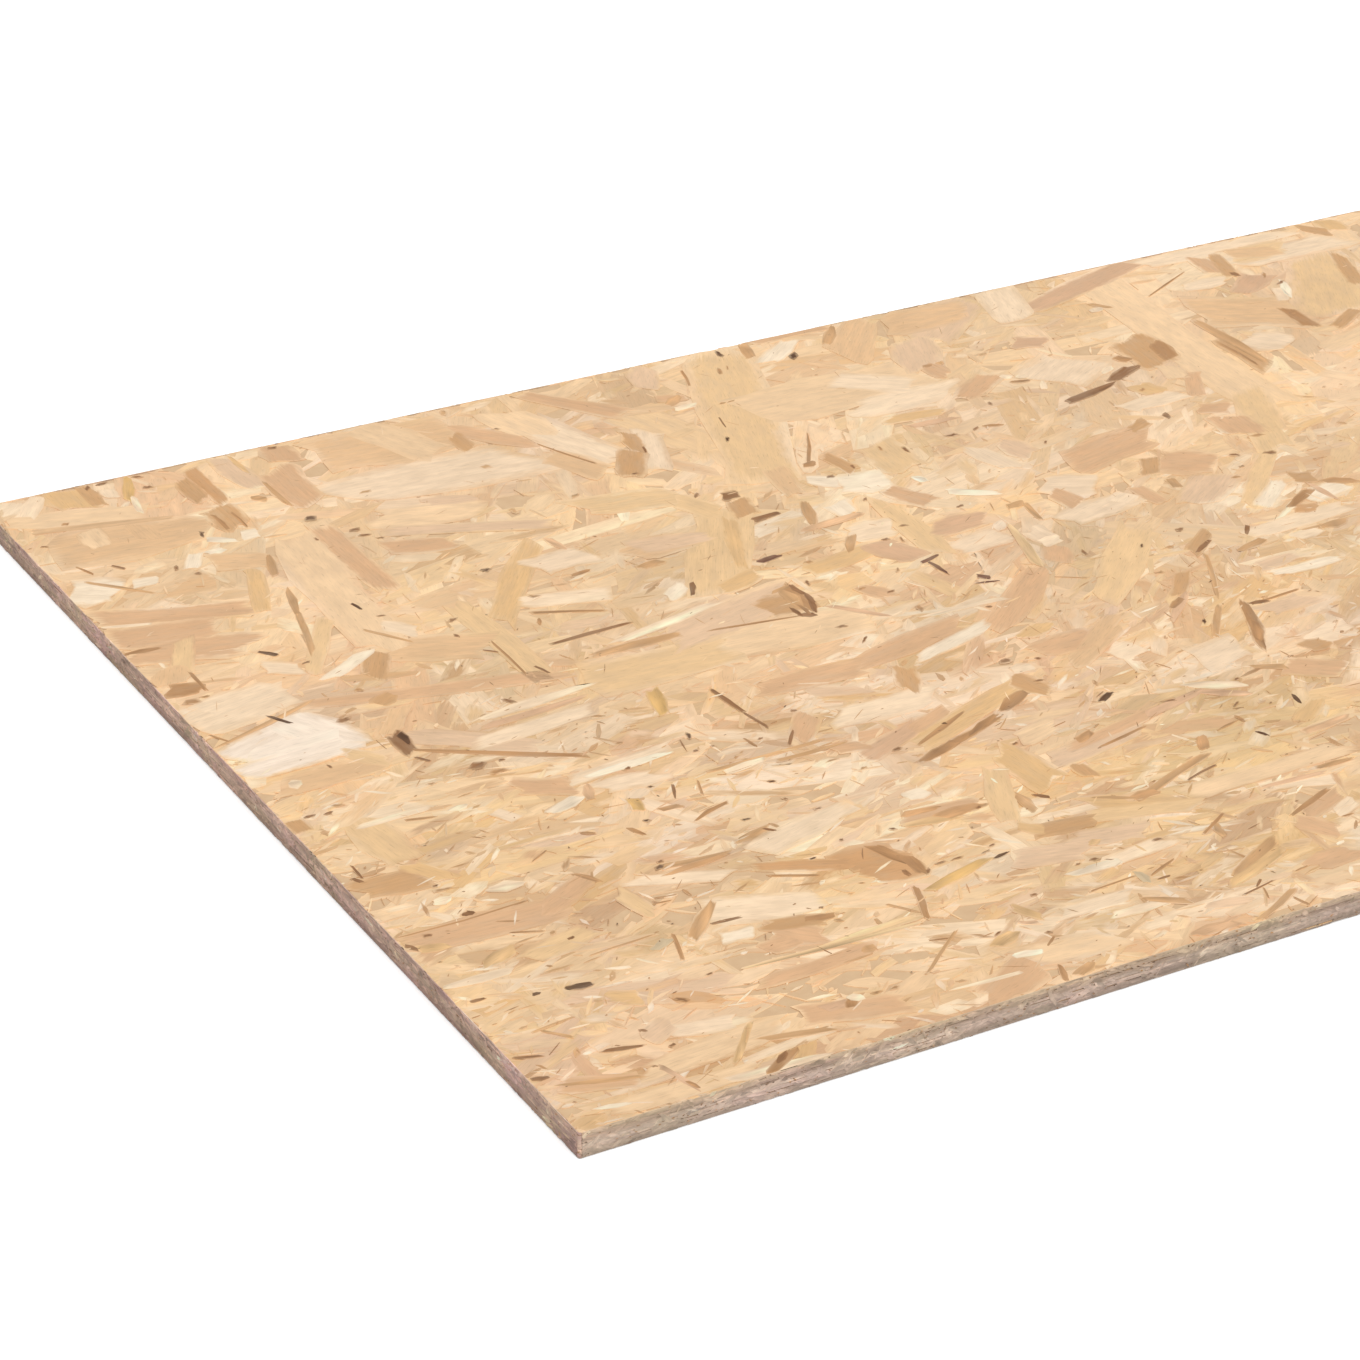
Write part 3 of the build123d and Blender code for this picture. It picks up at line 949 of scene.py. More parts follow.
def wafer_shell(layer: Layer, rng: np.random.Generator) -> Shell:
    """Works out every wafer of a heap as one surface over two parameters.

    A point at share s of the length and share e of the half width, from -1 to 1, lies at (s - 1/2) times the
    length along the strand and e times half the width across it. The width narrows to the end shares over the
    taper at each end, a bow of 4 s (1 - s) bends the middle line, a random raggedness moves the sides and
    splinters the ends, and the top dips or rises from end to end and side to side by the tilt. The bottom
    sheet lies the wafer's thickness below. What reaches past the sawn outline is held on it.

    Args:
        layer: The strands and their bed.
        rng: The source of the raggedness.

    Returns:
        The mesh arrays.
    """
    heap, cut, plane = layer.heap, layer.heap.cut, layer.bed.plane
    count, m, k = len(heap.length), cut.stations, cut.columns
    one, sheet = (count, 1, 1), (count, m, k)
    s, rim_s = (values[None, :, None] for values in cut.spaced(m, cut.margin[0]))
    e, rim_e = (values[None, None, :] for values in cut.spaced(k, cut.margin[1]))
    e = 2 * e - 1
    length, width = heap.length.reshape(one), heap.width.reshape(one)
    begin, finish = heap.ends[:, 0].reshape(one), heap.ends[:, 1].reshape(one)
    opening = begin + (1 - begin) * s / cut.taper
    closing = finish + (1 - finish) * (1 - s) / cut.taper
    swell = np.minimum(1.0, np.minimum(opening, closing))
    side = 1.0 + cut.ragged * rng.uniform(*cut.wander, sheet)
    at_end = (s < TINY) | (s > 1 - TINY)
    splinter = np.where(at_end, rng.uniform(-cut.splinter, cut.splinter, sheet), 0.0)
    bow = rng.normal(0.0, cut.bow, one) * length
    across = e * width / 2 * swell * side + bow * 4 * s * (1 - s)
    slant = rng.uniform(-cut.slant, cut.slant, one) * e * width
    of_length, of_width, of_margin = cut.end_reach
    end_reach = np.minimum(of_width * width, min(of_length, of_margin * cut.margin[0]) * length)
    along = (s - 0.5) * length + np.clip(slant, -end_reach, end_reach) + splinter * end_reach
    cos, sin = np.cos(heap.angle).reshape(one), np.sin(heap.angle).reshape(one)
    a = heap.centre[:, 0].reshape(one) + along * cos - across * sin
    b = heap.centre[:, 1].reshape(one) + along * sin + across * cos
    a, b = plane.held(a, b)
    tilt = rng.normal(0.0, 1.0, (2, *one)) * np.array(cut.tilt).reshape(2, 1, 1, 1)
    top = np.minimum(heap.level.reshape(one) + tilt[0] * (s - 0.5) + tilt[1] * e / 2, 0.0)
    low = top - rng.uniform(*cut.thick, one)
    points = np.stack([plane.world(a, b, top), plane.world(a, b, low)], axis=1).reshape(-1, 3)
    quads = (wafer_quads(m, k)[None] + (np.arange(count) * 2 * m * k)[:, None, None]).reshape(-1, 4)
    shade = 1.0 + cut.patchy * rng.normal(size=(*sheet, 1))
    crisp = cut.crisp[0] + (cut.crisp[1] - cut.crisp[0]) * rng.uniform(size=one) ** 2
    figure = rng.uniform(*cut.figure, one)
    own = np.clip(np.broadcast_to(heap.tone[:, None, None, :] * shade, (*sheet, 3)), 0.0, 1.0)
    bed = np.clip(layer.bed.lay(heap, a, b, crisp.ravel()), 0.0, 1.0)
    shift = rng.uniform(0.0, GRAIN_SHIFT, (count, 1, 1, 2))
    carried = (
        np.concatenate([own, np.broadcast_to(crisp, sheet)[..., None]], axis=-1),
        np.concatenate([bed, np.broadcast_to(figure, sheet)[..., None]], axis=-1),
        np.stack([np.broadcast_to(along, sheet), across], axis=-1) * MM + shift,
        np.stack([np.broadcast_to(rim_s, sheet), np.broadcast_to(rim_e, sheet)], axis=-1),
    )
    tone, ground, grain, rim = (np.repeat(v[:, None], 2, axis=1).reshape(-1, v.shape[-1]) for v in carried)
    flat = np.stack([np.broadcast_to(s, sheet), np.broadcast_to((e + 1) / 2, sheet)], axis=-1)
    cell = np.stack([flat, 0.5 + (flat - 0.5) * LOWER_SHARE], axis=1).reshape(-1, 2)
    return Shell(points, quads, tone, ground, grain, rim, cell)


# On the bake map: the gap round a strand and the least width it gets, in millimetres, and the spare room.
BAKE_GAP = 2.0
BAKE_LEAST = 1.5
BAKE_SPARE = 1.04


def bake_layout(heaps: list[Wafers]) -> list[np.ndarray]:
    """Lays every strand's own rectangle out on one square map, in rows of like width, so that none overlap.

    Strands go in order of width, end to end, and a row is full at the length that makes the layout square.

    Args:
        heaps: The heaps of one piece.

    Returns:
        For each heap, each strand's rectangle as left, bottom, width and height, from 0 to 1.
    """
    length = np.concatenate([h.length for h in heaps]) + BAKE_GAP
    height = np.maximum(np.concatenate([h.width for h in heaps]), BAKE_LEAST) + BAKE_GAP
    order = np.argsort(-height)
    row_length = math.sqrt(float((length * height).sum()) * BAKE_SPARE) + float(length.max())
    begin = np.concatenate([[0.0], np.cumsum(length[order])[:-1]])
    usable = row_length - float(length.max())
    row = np.floor(begin / usable).astype(int)
    row_height = np.zeros(row.max() + 1)
    np.maximum.at(row_height, row, height[order])
    base = np.concatenate([[0.0], np.cumsum(row_height)[:-1]])
    left = np.empty_like(length)
    bottom = np.empty_like(length)
    left[order] = begin - row * usable
    bottom[order] = base[row]
    tall = float(row_height.sum())
    corners = [(left + BAKE_GAP / 2) / row_length, (bottom + BAKE_GAP / 2) / tall]
    sizes = [(length - BAKE_GAP) / row_length, (height - BAKE_GAP) / tall]
    boxes = np.stack(corners + sizes, axis=1)
    return np.split(boxes, np.cumsum([len(h.length) for h in heaps])[:-1])


def ridden(name: str, mesh: bpy.types.Mesh, finish: Material) -> Piece:
    """Makes a finished mesh a piece of the scene, at the origin, that rides on the board.

    Args:
        name: The piece's name.
        mesh: Its mesh.
        finish: Its material.

    Returns:
        The piece.
    """
    mesh.materials.append(finish)
    piece = bpy.data.objects.new(name, mesh)
    bpy.context.scene.collection.objects.link(piece)
    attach(piece, BODY)
    LOG.info("%s: %d faces", name, len(mesh.polygons))
    return piece


def make_piece(name: str, layers: list[Layer], finish: Material, rng: np.random.Generator) -> Piece:
    """Joins heaps of wafers into one mesh piece with its tones, its grain and rim maps and its bake map.

    Args:
        name: The piece's name.
        layers: The heaps of strands with their beds, from the lowest up.
        finish: The material.
        rng: The source of the raggedness.

    Returns:
        The piece.
    """
    boxes = bake_layout([layer.heap for layer in layers])
    shells = [wafer_shell(layer, rng) for layer in layers]
    starts = np.cumsum([0] + [len(shell.points) for shell in shells[:-1]])
    points = np.concatenate([shell.points for shell in shells])
    quads = np.concatenate([shell.quads + start for shell, start in zip(shells, starts)])
    placed = []
    for layer, shell, box in zip(layers, shells, boxes):
        each = np.repeat(box, 2 * layer.heap.cut.stations * layer.heap.cut.columns, axis=0)
        placed.append(each[:, :2] + shell.cell * each[:, 2:])
    mesh = bpy.data.meshes.new(name)
    mesh.vertices.add(len(points))
    mesh.loops.add(quads.size)
    mesh.polygons.add(len(quads))
    mesh.vertices.foreach_set("co", points.astype(np.float32).ravel())
    mesh.loops.foreach_set("vertex_index", quads.astype(np.int32).ravel())
    mesh.polygons.foreach_set("loop_start", np.arange(0, quads.size, 4, dtype=np.int32))
    mesh.update(calc_edges=True)
    mesh.shade_flat()
    for label in ("tone", "ground"):
        values = np.concatenate([getattr(shell, label) for shell in shells]).astype(np.float32)
        mesh.attributes.new(label, "FLOAT_COLOR", "POINT").data.foreach_set("color", values.ravel())
    maps = {
        "grain": np.concatenate([shell.grain for shell in shells]),
        "rim": np.concatenate([shell.rim for shell in shells]),
        "OFBake": np.concatenate(placed),
    }
    for label, values in maps.items():
        mesh.uv_layers.new(name=label)
        mesh.uv_layers[label].uv.foreach_set("vector", values[quads.ravel()].astype(np.float32).ravel())
    return ridden(name, mesh, finish)


@dataclass(frozen=True)
class Grade:
    """One size class of strand in the mat. Sizes in millimetres, angles in degrees, depths 1 at the top.

    The spread is how far strands turn from the way they should run, any_way the share that lies any way, and
    thinned the share that is left out at the back of the face.
    """

    count: int
    length: Pair
    width: Pair
    depth: Pair
    spread: float
    any_way: float
    thinned: float
    tones: dict[Wood, float]
    cut: Cut


FACE_TONES: dict[Wood, float] = {
    Wood.WHITE: 0.02,
    Wood.SAPWOOD: 0.16,
    Wood.CREAM: 0.28,
    Wood.STRAW: 0.2,
    Wood.PINK: 0.07,
    Wood.HONEY: 0.07,
    Wood.ROSE: 0.1,
    Wood.BISCUIT: 0.09,
    Wood.TAN: 0.02,
}
SLIVER_TONES: dict[Wood, float] = {
    Wood.WHITE: 0.08,
    Wood.SAPWOOD: 0.2,
    Wood.CREAM: 0.2,
    Wood.STRAW: 0.13,
    Wood.ROSE: 0.1,
    Wood.BISCUIT: 0.12,
    Wood.TAN: 0.1,
    Wood.BROWN: 0.04,
}
FLECK_TONES: dict[Wood, float] = {Wood.BROWN: 0.45, Wood.UMBER: 0.4, Wood.BARK: 0.15}
# The dark hairs' tones: the hairs are partly bark and dark wood, and partly painted shade, thin dark slivers
# for the shaded gaps between strands.
HAIR_AND_GAP_SHADE_TONES: dict[Wood, float] = {Wood.TAN: 0.3, Wood.BROWN: 0.45, Wood.UMBER: 0.25}
# Each cut is its ends, raggedness and crispness, and the points along and across its mesh.
FLAT: Pair = (0.0, 0.0)
FLAKE_CUT = Cut((0.7, 1.0), 0.08, (0.05, 0.9), 5, 4, margin=(0.09, 0.16))
STRAND_CUT = Cut((0.3, 0.95), 0.12, (0.1, 0.9), 4, 2)
SLIVER_CUT = Cut((0.1, 0.7), 0.2, (0.25, 1.0), 3, 2)
FLECK_CUT = Cut((0.2, 0.9), 0.5, (0.1, 0.7), 4, 2, thick=(0.08, 0.15), tilt=FLAT, patchy=0.15)
LAID_CUT = Cut((0.55, 1.0), 0.24, (0.05, 0.75), 5, 4, margin=(0.14, 0.28), thick=(0.15, 0.3), tilt=FLAT)
STRIP_CUT = replace(
    LAID_CUT, ends=(0.2, 0.85), ragged=0.35, crisp=(0.1, 0.85), margin=(0.1, 0.22), patchy=0.15
)
COURSE_CUT = Cut((0.3, 0.9), 0.2, (0.0, 0.6), 4, 2, bow=0.004, tilt=(0.03, 0.03))
CHIP_CUT = Cut((0.2, 0.9), 0.3, (0.0, 0.6), 3, 2, bow=0.02, tilt=(0.02, 0.02))
# Each grade is its count, length, width, depth, spread, any-way share, thinned share, tones and cut.
FLAKES = Grade(1400, (60, 125), (10, 34), (0.0, 0.35), 15, 0.12, 0.0, FACE_TONES, FLAKE_CUT)
STRANDS = Grade(4800, (10, 46), (3.2, 12), (0.37, 0.68), 23, 0.2, 0.5, FACE_TONES, STRAND_CUT)
SLIVERS = Grade(9500, (2.5, 15), (0.8, 3.6), (0.7, 0.84), 30, 0.28, 0.8, SLIVER_TONES, SLIVER_CUT)
LOOSE_SLIVERS = Grade(1100, (3, 14), (0.4, 1.8), (0.97, 0.985), 28, 0.25, 0.8, SLIVER_TONES, SLIVER_CUT)
# The hairs are partly painted shade: dark slivers laid for the shaded gaps between strands.
HAIRS_AND_GAP_SHADE = Grade(800, (3, 12), (0.35, 0.8), (0.985, 1.0), 40, 0.3, 0.6, HAIR_AND_GAP_SHADE_TONES, SLIVER_CUT)
FLECKS = Grade(2000, (0.7, 2.6), (0.35, 0.95), (0.985, 1.0), 30, 0.3, 0.5, FLECK_TONES, FLECK_CUT)
TOP_GRADES = {"flakes": FLAKES, "strands": STRANDS, "slivers": SLIVERS}
UNDER_GRADES = {**TOP_GRADES, "slivers": replace(SLIVERS, count=4000)}
# How deep in millimetres the broadest and the narrowest strands of each laid kind lie.
BROAD_DEPTHS: Pair = (0.07, 0.045)
STRIP_DEPTHS: Pair = (0.045, 0.025)
FLECK_DEPTHS: Pair = (0.02, 0.0)
# The widths of all strands, of broad ones and of strips, in millimetres.
ALL_WIDTHS: Pair = (0.0, math.inf)
BROAD_WIDTHS: Pair = (8.0, math.inf)
STRIP_WIDTHS: Pair = (0.0, 8.0)
# How much the warmth of one wood's strands varies, and how much of that its red, green and blue take up.
WARMTH = 0.035
WARMTH_SHARES: Triple = (0.0, 0.3, 1.0)


def picked(tones: dict[Wood, float], count: int, rng: np.random.Generator, vary: float) -> np.ndarray:
    """Draws a tone for each strand, and varies its lightness a little and its blue and green, for warmth.

    Args:
        tones: Each wood's share.
        count: How many strands.
        rng: The source of chance.
        vary: The spread of lightness.

    Returns:
        Linear colours.
    """
    table = np.array([linear(wood.value) for wood in tones])
    share = np.array(list(tones.values()))
    which = rng.choice(len(table), count, p=share / share.sum())
    warmth = rng.normal(0.0, WARMTH, (count, 1)) * np.array(WARMTH_SHARES)
    return table[which] * np.exp(rng.normal(0.0, vary, (count, 1)) + warmth)


def between(limits: Pair, count: int, rng: np.random.Generator) -> np.ndarray:
    """Draws sizes between two limits, with as many from each doubling of the size."""
    return np.exp(rng.uniform(math.log(limits[0]), math.log(limits[1]), count))


@dataclass(frozen=True)
class StrandMat:
    """The outer layer of strands on one pressed face: how they run, and how deep they lie.

    Sizes are in millimetres and angles in degrees. Strands are worn towards the ground tone by the two worn
    shares, at the front and at the back of the face, and the back begins and is full at the two back places.
    Strands further left than seen_to from the middle are the ones that are repeated at the unseen right end.
    Laid strands are longer and broader than they look by the grown shares, because their rims fray.
    """

    name: str
    bed: Bed
    seed: int
    mat_mm: float = 0.36
    sunk_mm: float = 0.02
    shortest: float = 1.0
    stoutest: float = 0.7
    overhang: float = 0.4
    main_lay: float = 4.0
    swirl_lay: float = 42.0
    swirl_at: Pair = (-170.0, -10.0)
    swirl_reach: Pair = (120.0, 90.0)
    cross_lay: float = 66.0
    cross_share: float = 0.5
    back_places: Pair = (-90.0, 170.0)
    worn: Pair = (0.05, 0.38)
    vary: float = 0.055
    laid_vary: float = 0.02
    grown: Pair = (1.06, 1.15)
    seen_to: float = 210.0

    def lay(self, centre: np.ndarray, rng: np.random.Generator) -> np.ndarray:
        """Gives each strand's mean angle in degrees.

        Strands run the main way, turn to the swirl's way in a bell-shaped patch, and towards the back a
        growing share lies across.

        Args:
            centre: Places on the face.
            rng: The source of chance.

        Returns:
            Angles from the face's long direction.
        """
        away = (centre - np.array(self.swirl_at)) / np.array(self.swirl_reach)
        swirl = np.exp(-0.5 * (away ** 2).sum(axis=1))
        back = self.back(centre)
        crossing = rng.uniform(size=len(centre)) < self.cross_share * back * (1.0 - swirl)
        return np.where(crossing, self.cross_lay, self.main_lay + (self.swirl_lay - self.main_lay) * swirl)

    def back(self, centre: np.ndarray) -> np.ndarray:
        """Gives 0 on the front of the face, rising to 1 on its back."""
        begin, full = self.back_places
        return np.clip((centre[:, 1] - begin) / (full - begin), 0.0, 1.0)

    def scatter(self, grade: Grade, rng: np.random.Generator) -> Layer:
        """Throws one grade of strand on the face, worn towards its ground tone, more so on the back.

        Args:
            grade: The size class.
            rng: The source of chance.

        Returns:
            The strands, sawn at the outline.
        """
        reach, ground = self.bed.plane.reach, self.bed.ground
        thrown = np.array(reach) + self.overhang * grade.length[1]
        centre = rng.uniform(-1.0, 1.0, (grade.count, 2)) * thrown
        centre = centre[rng.uniform(size=grade.count) > grade.thinned * self.back(centre)]
        n = len(centre)
        length = between(grade.length, n, rng)
        width = between(grade.width, n, rng)
        angle = self.lay(centre, rng) + rng.normal(0.0, grade.spread, n)
        angle = np.where(rng.uniform(size=n) < grade.any_way, rng.uniform(0.0, 180.0, n), angle)
        depth = rng.uniform(*grade.depth, n)
        tone = picked(grade.tones, n, rng, self.vary) * ground.drift(centre[:, 0], centre[:, 1])
        worn = self.worn[0] + (self.worn[1] - self.worn[0]) * self.back(centre)
        tone += worn[:, None] * (ground.colour(centre[:, 0], centre[:, 1]) - tone)
        heap = Wafers(
            grade.cut,
            centre,
            length,
            np.minimum(width, length * self.stoutest),
            np.radians(angle),
            -self.mat_mm * (1.0 - depth) - self.sunk_mm,
            tone,
            Wafers.ends_of(grade.cut, n, rng),
        )
        return Layer(heap.sawn(reach, self.shortest), self.bed)

    def laid(
        self,
        rows: dict[Wood, tuple[Five, ...]],
        cut: Cut,
        depths: Pair,
        rng: np.random.Generator,
        widths: Pair = ALL_WIDTHS,
        flecks: bool = False,
        turned: bool = False,
    ) -> Layer:
        """Lays listed strands: broad ones lowest, and each narrower one over them.

        Args:
            rows: The strands of each wood.
            cut: How they were cut.
            depths: How deep the broadest and the narrowest lie.
            rng: The source of chance.
            widths: The widths laid, from the least up to, but not with, the most.
            flecks: Whether rows give a middle, length, width and angle, or a start, end and width.
            turned: Whether the left end's strands are laid once more, half a turn round, at the right end.

        Returns:
            The strands, sawn at the outline.
        """
        table = np.array([row for group in rows.values() for row in group], dtype=float)
        woods = np.concatenate([[linear(wood.value)] * len(group) for wood, group in rows.items()])
        across = table[:, 3 if flecks else 4]
        chosen = (across >= widths[0]) & (across < widths[1])
        table, woods = table[chosen], woods[chosen]
        if flecks:
            centre, length, width, angle = table[:, :2], table[:, 2], table[:, 3], np.radians(table[:, 4])
        else:
            way = table[:, 2:4] - table[:, :2]
            centre = (table[:, 2:4] + table[:, :2]) / 2
            length, angle = np.hypot(way[:, 0], way[:, 1]), np.arctan2(way[:, 1], way[:, 0])
            width = table[:, 4]
        if turned:
            far = centre[:, 0] < -self.seen_to
            centre, angle, woods = -centre[far], angle[far], woods[far]
            length, width = length[far], width[far]
        rank = np.argsort(np.argsort(-width * length, kind="stable"), kind="stable") / len(width)
        heap = Wafers(
            cut,
            centre,
            length * self.grown[0],
            width * self.grown[1],
            angle,
            -(depths[0] + (depths[1] - depths[0]) * rank),
            woods * np.exp(rng.normal(0.0, self.laid_vary, (len(width), 1))),
            Wafers.ends_of(cut, len(width), rng),
        )
        return Layer(heap.sawn(self.bed.plane.reach, self.shortest), self.bed)

    def press(self, grades: dict[str, Grade], finish: Material, rng: np.random.Generator) -> None:
        """Makes one piece of each grade of scattered strand, from the lowest up.

        Args:
            grades: The grades, with the last word of each piece's name.
            finish: The material.
            rng: The source of chance.
        """
        for label, grade in grades.items():
            make_piece(f"{self.name}_{label}", [self.scatter(grade, rng)], finish, rng)

    def lay_last(self, finish: Material, rng: np.random.Generator) -> None:
        """Makes the piece that lies over the others: listed strands and flecks, and loose small ones.

        The unseen right end repeats the left end's, without the one white flake.

        Args:
            finish: The material.
            rng: The source of chance.
        """
        repeated = {wood: rows for wood, rows in LAID_STRANDS.items() if wood is not Wood.IVORY}
        layers = []
        for rows, turned in ((LAID_STRANDS, False), (repeated, True)):
            layers.append(self.laid(rows, LAID_CUT, BROAD_DEPTHS, rng, BROAD_WIDTHS, turned=turned))
            layers.append(self.laid(rows, STRIP_CUT, STRIP_DEPTHS, rng, STRIP_WIDTHS, turned=turned))
        for grade in (LOOSE_SLIVERS, HAIRS_AND_GAP_SHADE, FLECKS):
            layers.append(self.scatter(grade, rng))
        for turned in (False, True):
            layers.append(self.laid(LAID_FLECKS, FLECK_CUT, FLECK_DEPTHS, rng, flecks=True, turned=turned))
        make_piece(f"{self.name}_last_strands", layers, finish, rng)


@dataclass(frozen=True)
class Chips:
    """One kind of short chip on a sawn edge, in its layer's tone unless it has woods of its own."""

    per_mm: float
    length: Pair
    width: Pair
    sunk: Pair
    vary: float
    tones: dict[Wood, float] | None = None


# Pale chips and dark specks: how many to a millimetre, length, width, how deep they lie, and spread of tone.
EDGE_CHIPS = (
    Chips(1.1, (2.2, 9.0), (0.8, 2.6), (0.04, 0.14), 0.19),
    Chips(0.45, (0.66, 1.8), (0.3, 0.8), (0.0, 0.04), 0.1, FLECK_TONES),
)


@dataclass(frozen=True)
class SawnEdges:
    """A pair of sawn edges, where the saw shows the strands of the whole thickness end on or side on.

    Sizes are in millimetres and angles in radians. Each course of cut strands holds them to a height that
    wanders a little, with ends that overlap and a few spare strands, and shorter chips of two kinds lie over
    the courses.
    """

    name: str
    planes: list[FacePlane]
    ground: LayeredGround
    seed: int
    courses: int = 11
    course_mm: Pair = (14.0, 46.0)
    course_rise: Pair = (0.9, 1.5)
    course_sunk: Pair = (0.17, 0.22)
    course_vary: float = 0.1
    course_lean: float = 0.008
    wander_mm: float = 0.12
    overlap: float = 1.25
    spare: int = 3
    chip_lean: float = 0.4
    cell_mm: float = 0.4
    shortest: float = 0.4

    def toned(self, centre: np.ndarray, vary: float, rng: np.random.Generator) -> np.ndarray:
        """Gives each cut strand the tone of its layer, a little lighter or darker."""
        lighter = np.exp(rng.normal(0.0, vary, (len(centre), 1)))
        return self.ground.colour(centre[:, 0], centre[:, 1]) * lighter

    def course_heap(self, plane: FacePlane, rng: np.random.Generator) -> Wafers:
        """Stacks cut strands in courses over one edge, end to end along each course.

        Args:
            plane: The edge.
            rng: The source of chance.

        Returns:
            The cut strands.
        """
        half, rise = plane.reach
        per_course = int(2 * half / self.course_mm[0]) + self.spare
        length = rng.uniform(*self.course_mm, (self.courses, per_course))
        begin = rng.uniform(0.0, self.course_mm[1], (self.courses, 1))
        start = np.cumsum(length, axis=1) - length - begin - half
        height = ((np.arange(self.courses) + 0.5) / self.courses * 2 - 1)[:, None] * rise
        height = height + rng.normal(0.0, self.wander_mm, length.shape)
        centre = np.stack([start + length / 2, height], axis=-1).reshape(-1, 2)
        n = len(centre)
        return Wafers(
            COURSE_CUT,
            centre,
            length.ravel() * self.overlap,
            rng.uniform(*self.course_rise, n) * 2 * rise / self.courses,
            rng.normal(0.0, self.course_lean, n),
            -rng.uniform(*self.course_sunk, n),
            self.toned(centre, self.course_vary, rng),
            Wafers.ends_of(COURSE_CUT, n, rng),
        )

    def chip_heap(self, plane: FacePlane, chips: Chips, rng: np.random.Generator) -> Wafers:
        """Scatters one kind of chip over one edge.

        Args:
            plane: The edge.
            chips: Their kind.
            rng: The source of chance.

        Returns:
            The chips.
        """
        n = max(1, int(chips.per_mm * 2 * plane.reach[0]))
        centre = rng.uniform(-1.0, 1.0, (n, 2)) * np.array(plane.reach)
        if chips.tones:
            tone = picked(chips.tones, n, rng, chips.vary)
        else:
            tone = self.toned(centre, chips.vary, rng)
        return Wafers(
            CHIP_CUT,
            centre,
            between(chips.length, n, rng),
            rng.uniform(*chips.width, n),
            rng.normal(0.0, self.chip_lean, n),
            -rng.uniform(*chips.sunk, n),
            tone,
            Wafers.ends_of(CHIP_CUT, n, rng),
        )

    def build(self, finish: Material) -> Piece:
        """Makes the piece that holds the cut strands of these edges.

        Args:
            finish: The material.

        Returns:
            The piece.
        """
        rng = np.random.default_rng(self.seed)
        layers = []
        for plane in self.planes:
            heaps = [self.course_heap(plane, rng)]
            heaps += [self.chip_heap(plane, chips, rng) for chips in EDGE_CHIPS]
            bed = Bed(plane, self.ground, self.cell_mm)
            layers += [Layer(heap.sawn(plane.reach, self.shortest), bed) for heap in heaps]
        return make_piece(self.name, layers, finish, rng)


@dataclass(frozen=True)
class Core:
    """The body of the mat behind the outer strands: the board's block, set back from every side.

    Sizes are in millimetres, and around is the number of points on each side.
    """

    half_length: float
    half_width: float
    thickness: float
    set_back: float = 0.75
    sink: float = 0.42
    lean: float = 0.3
    around: int = 64

    def build(self, finish: Material) -> Piece:
        """Sweeps the block's section round its outline and closes it with a face above and one below.

        A point at share u of the way round lies on the rectangle's outline, drawn in by the set-back, at one
        of the heights of the section, which is sunk below both faces and leans in slightly at the rims.

        Args:
            finish: The material.

        Returns:
            The piece, which stands for the board's own solid.
        """
        hx, hy = self.half_length - self.set_back, self.half_width - self.set_back
        side = np.linspace(-1.0, 1.0, self.around, endpoint=False)
        one = np.ones_like(side)
        rim = np.concatenate([
            np.stack([side * hx, -one * hy], axis=1),
            np.stack([one * hx, side * hy], axis=1),
            np.stack([-side * hx, one * hy], axis=1),
            np.stack([-one * hx, -side * hy], axis=1),
        ])
        n = len(rim)
        tall = self.thickness - 2 * self.sink
        heights = np.array([0.0, self.lean, tall - self.lean, tall]) + self.sink
        inset = np.array([self.lean, 0.0, 0.0, self.lean])
        shrink = 1.0 - inset[:, None, None] / np.array([hx, hy])
        raised = np.broadcast_to(heights[:, None, None], (4, n, 1))
        rings = np.concatenate([rim[None] * shrink, raised], axis=2)
        index = np.arange(4 * n).reshape(4, n)
        step = np.roll(index, -1, axis=1)
        walls = np.stack([index[:-1], step[:-1], step[1:], index[1:]], axis=-1).reshape(-1, 4)
        faces = walls.tolist() + [index[-1].tolist(), index[0][::-1].tolist()]
        mesh = bpy.data.meshes.new("strand_core")
        mesh.from_pydata((rings.reshape(-1, 3) * MM).tolist(), [], faces)
        mesh.shade_flat()
        piece = ridden("strand_core", mesh, finish)
        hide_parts(NODE)
        return piece


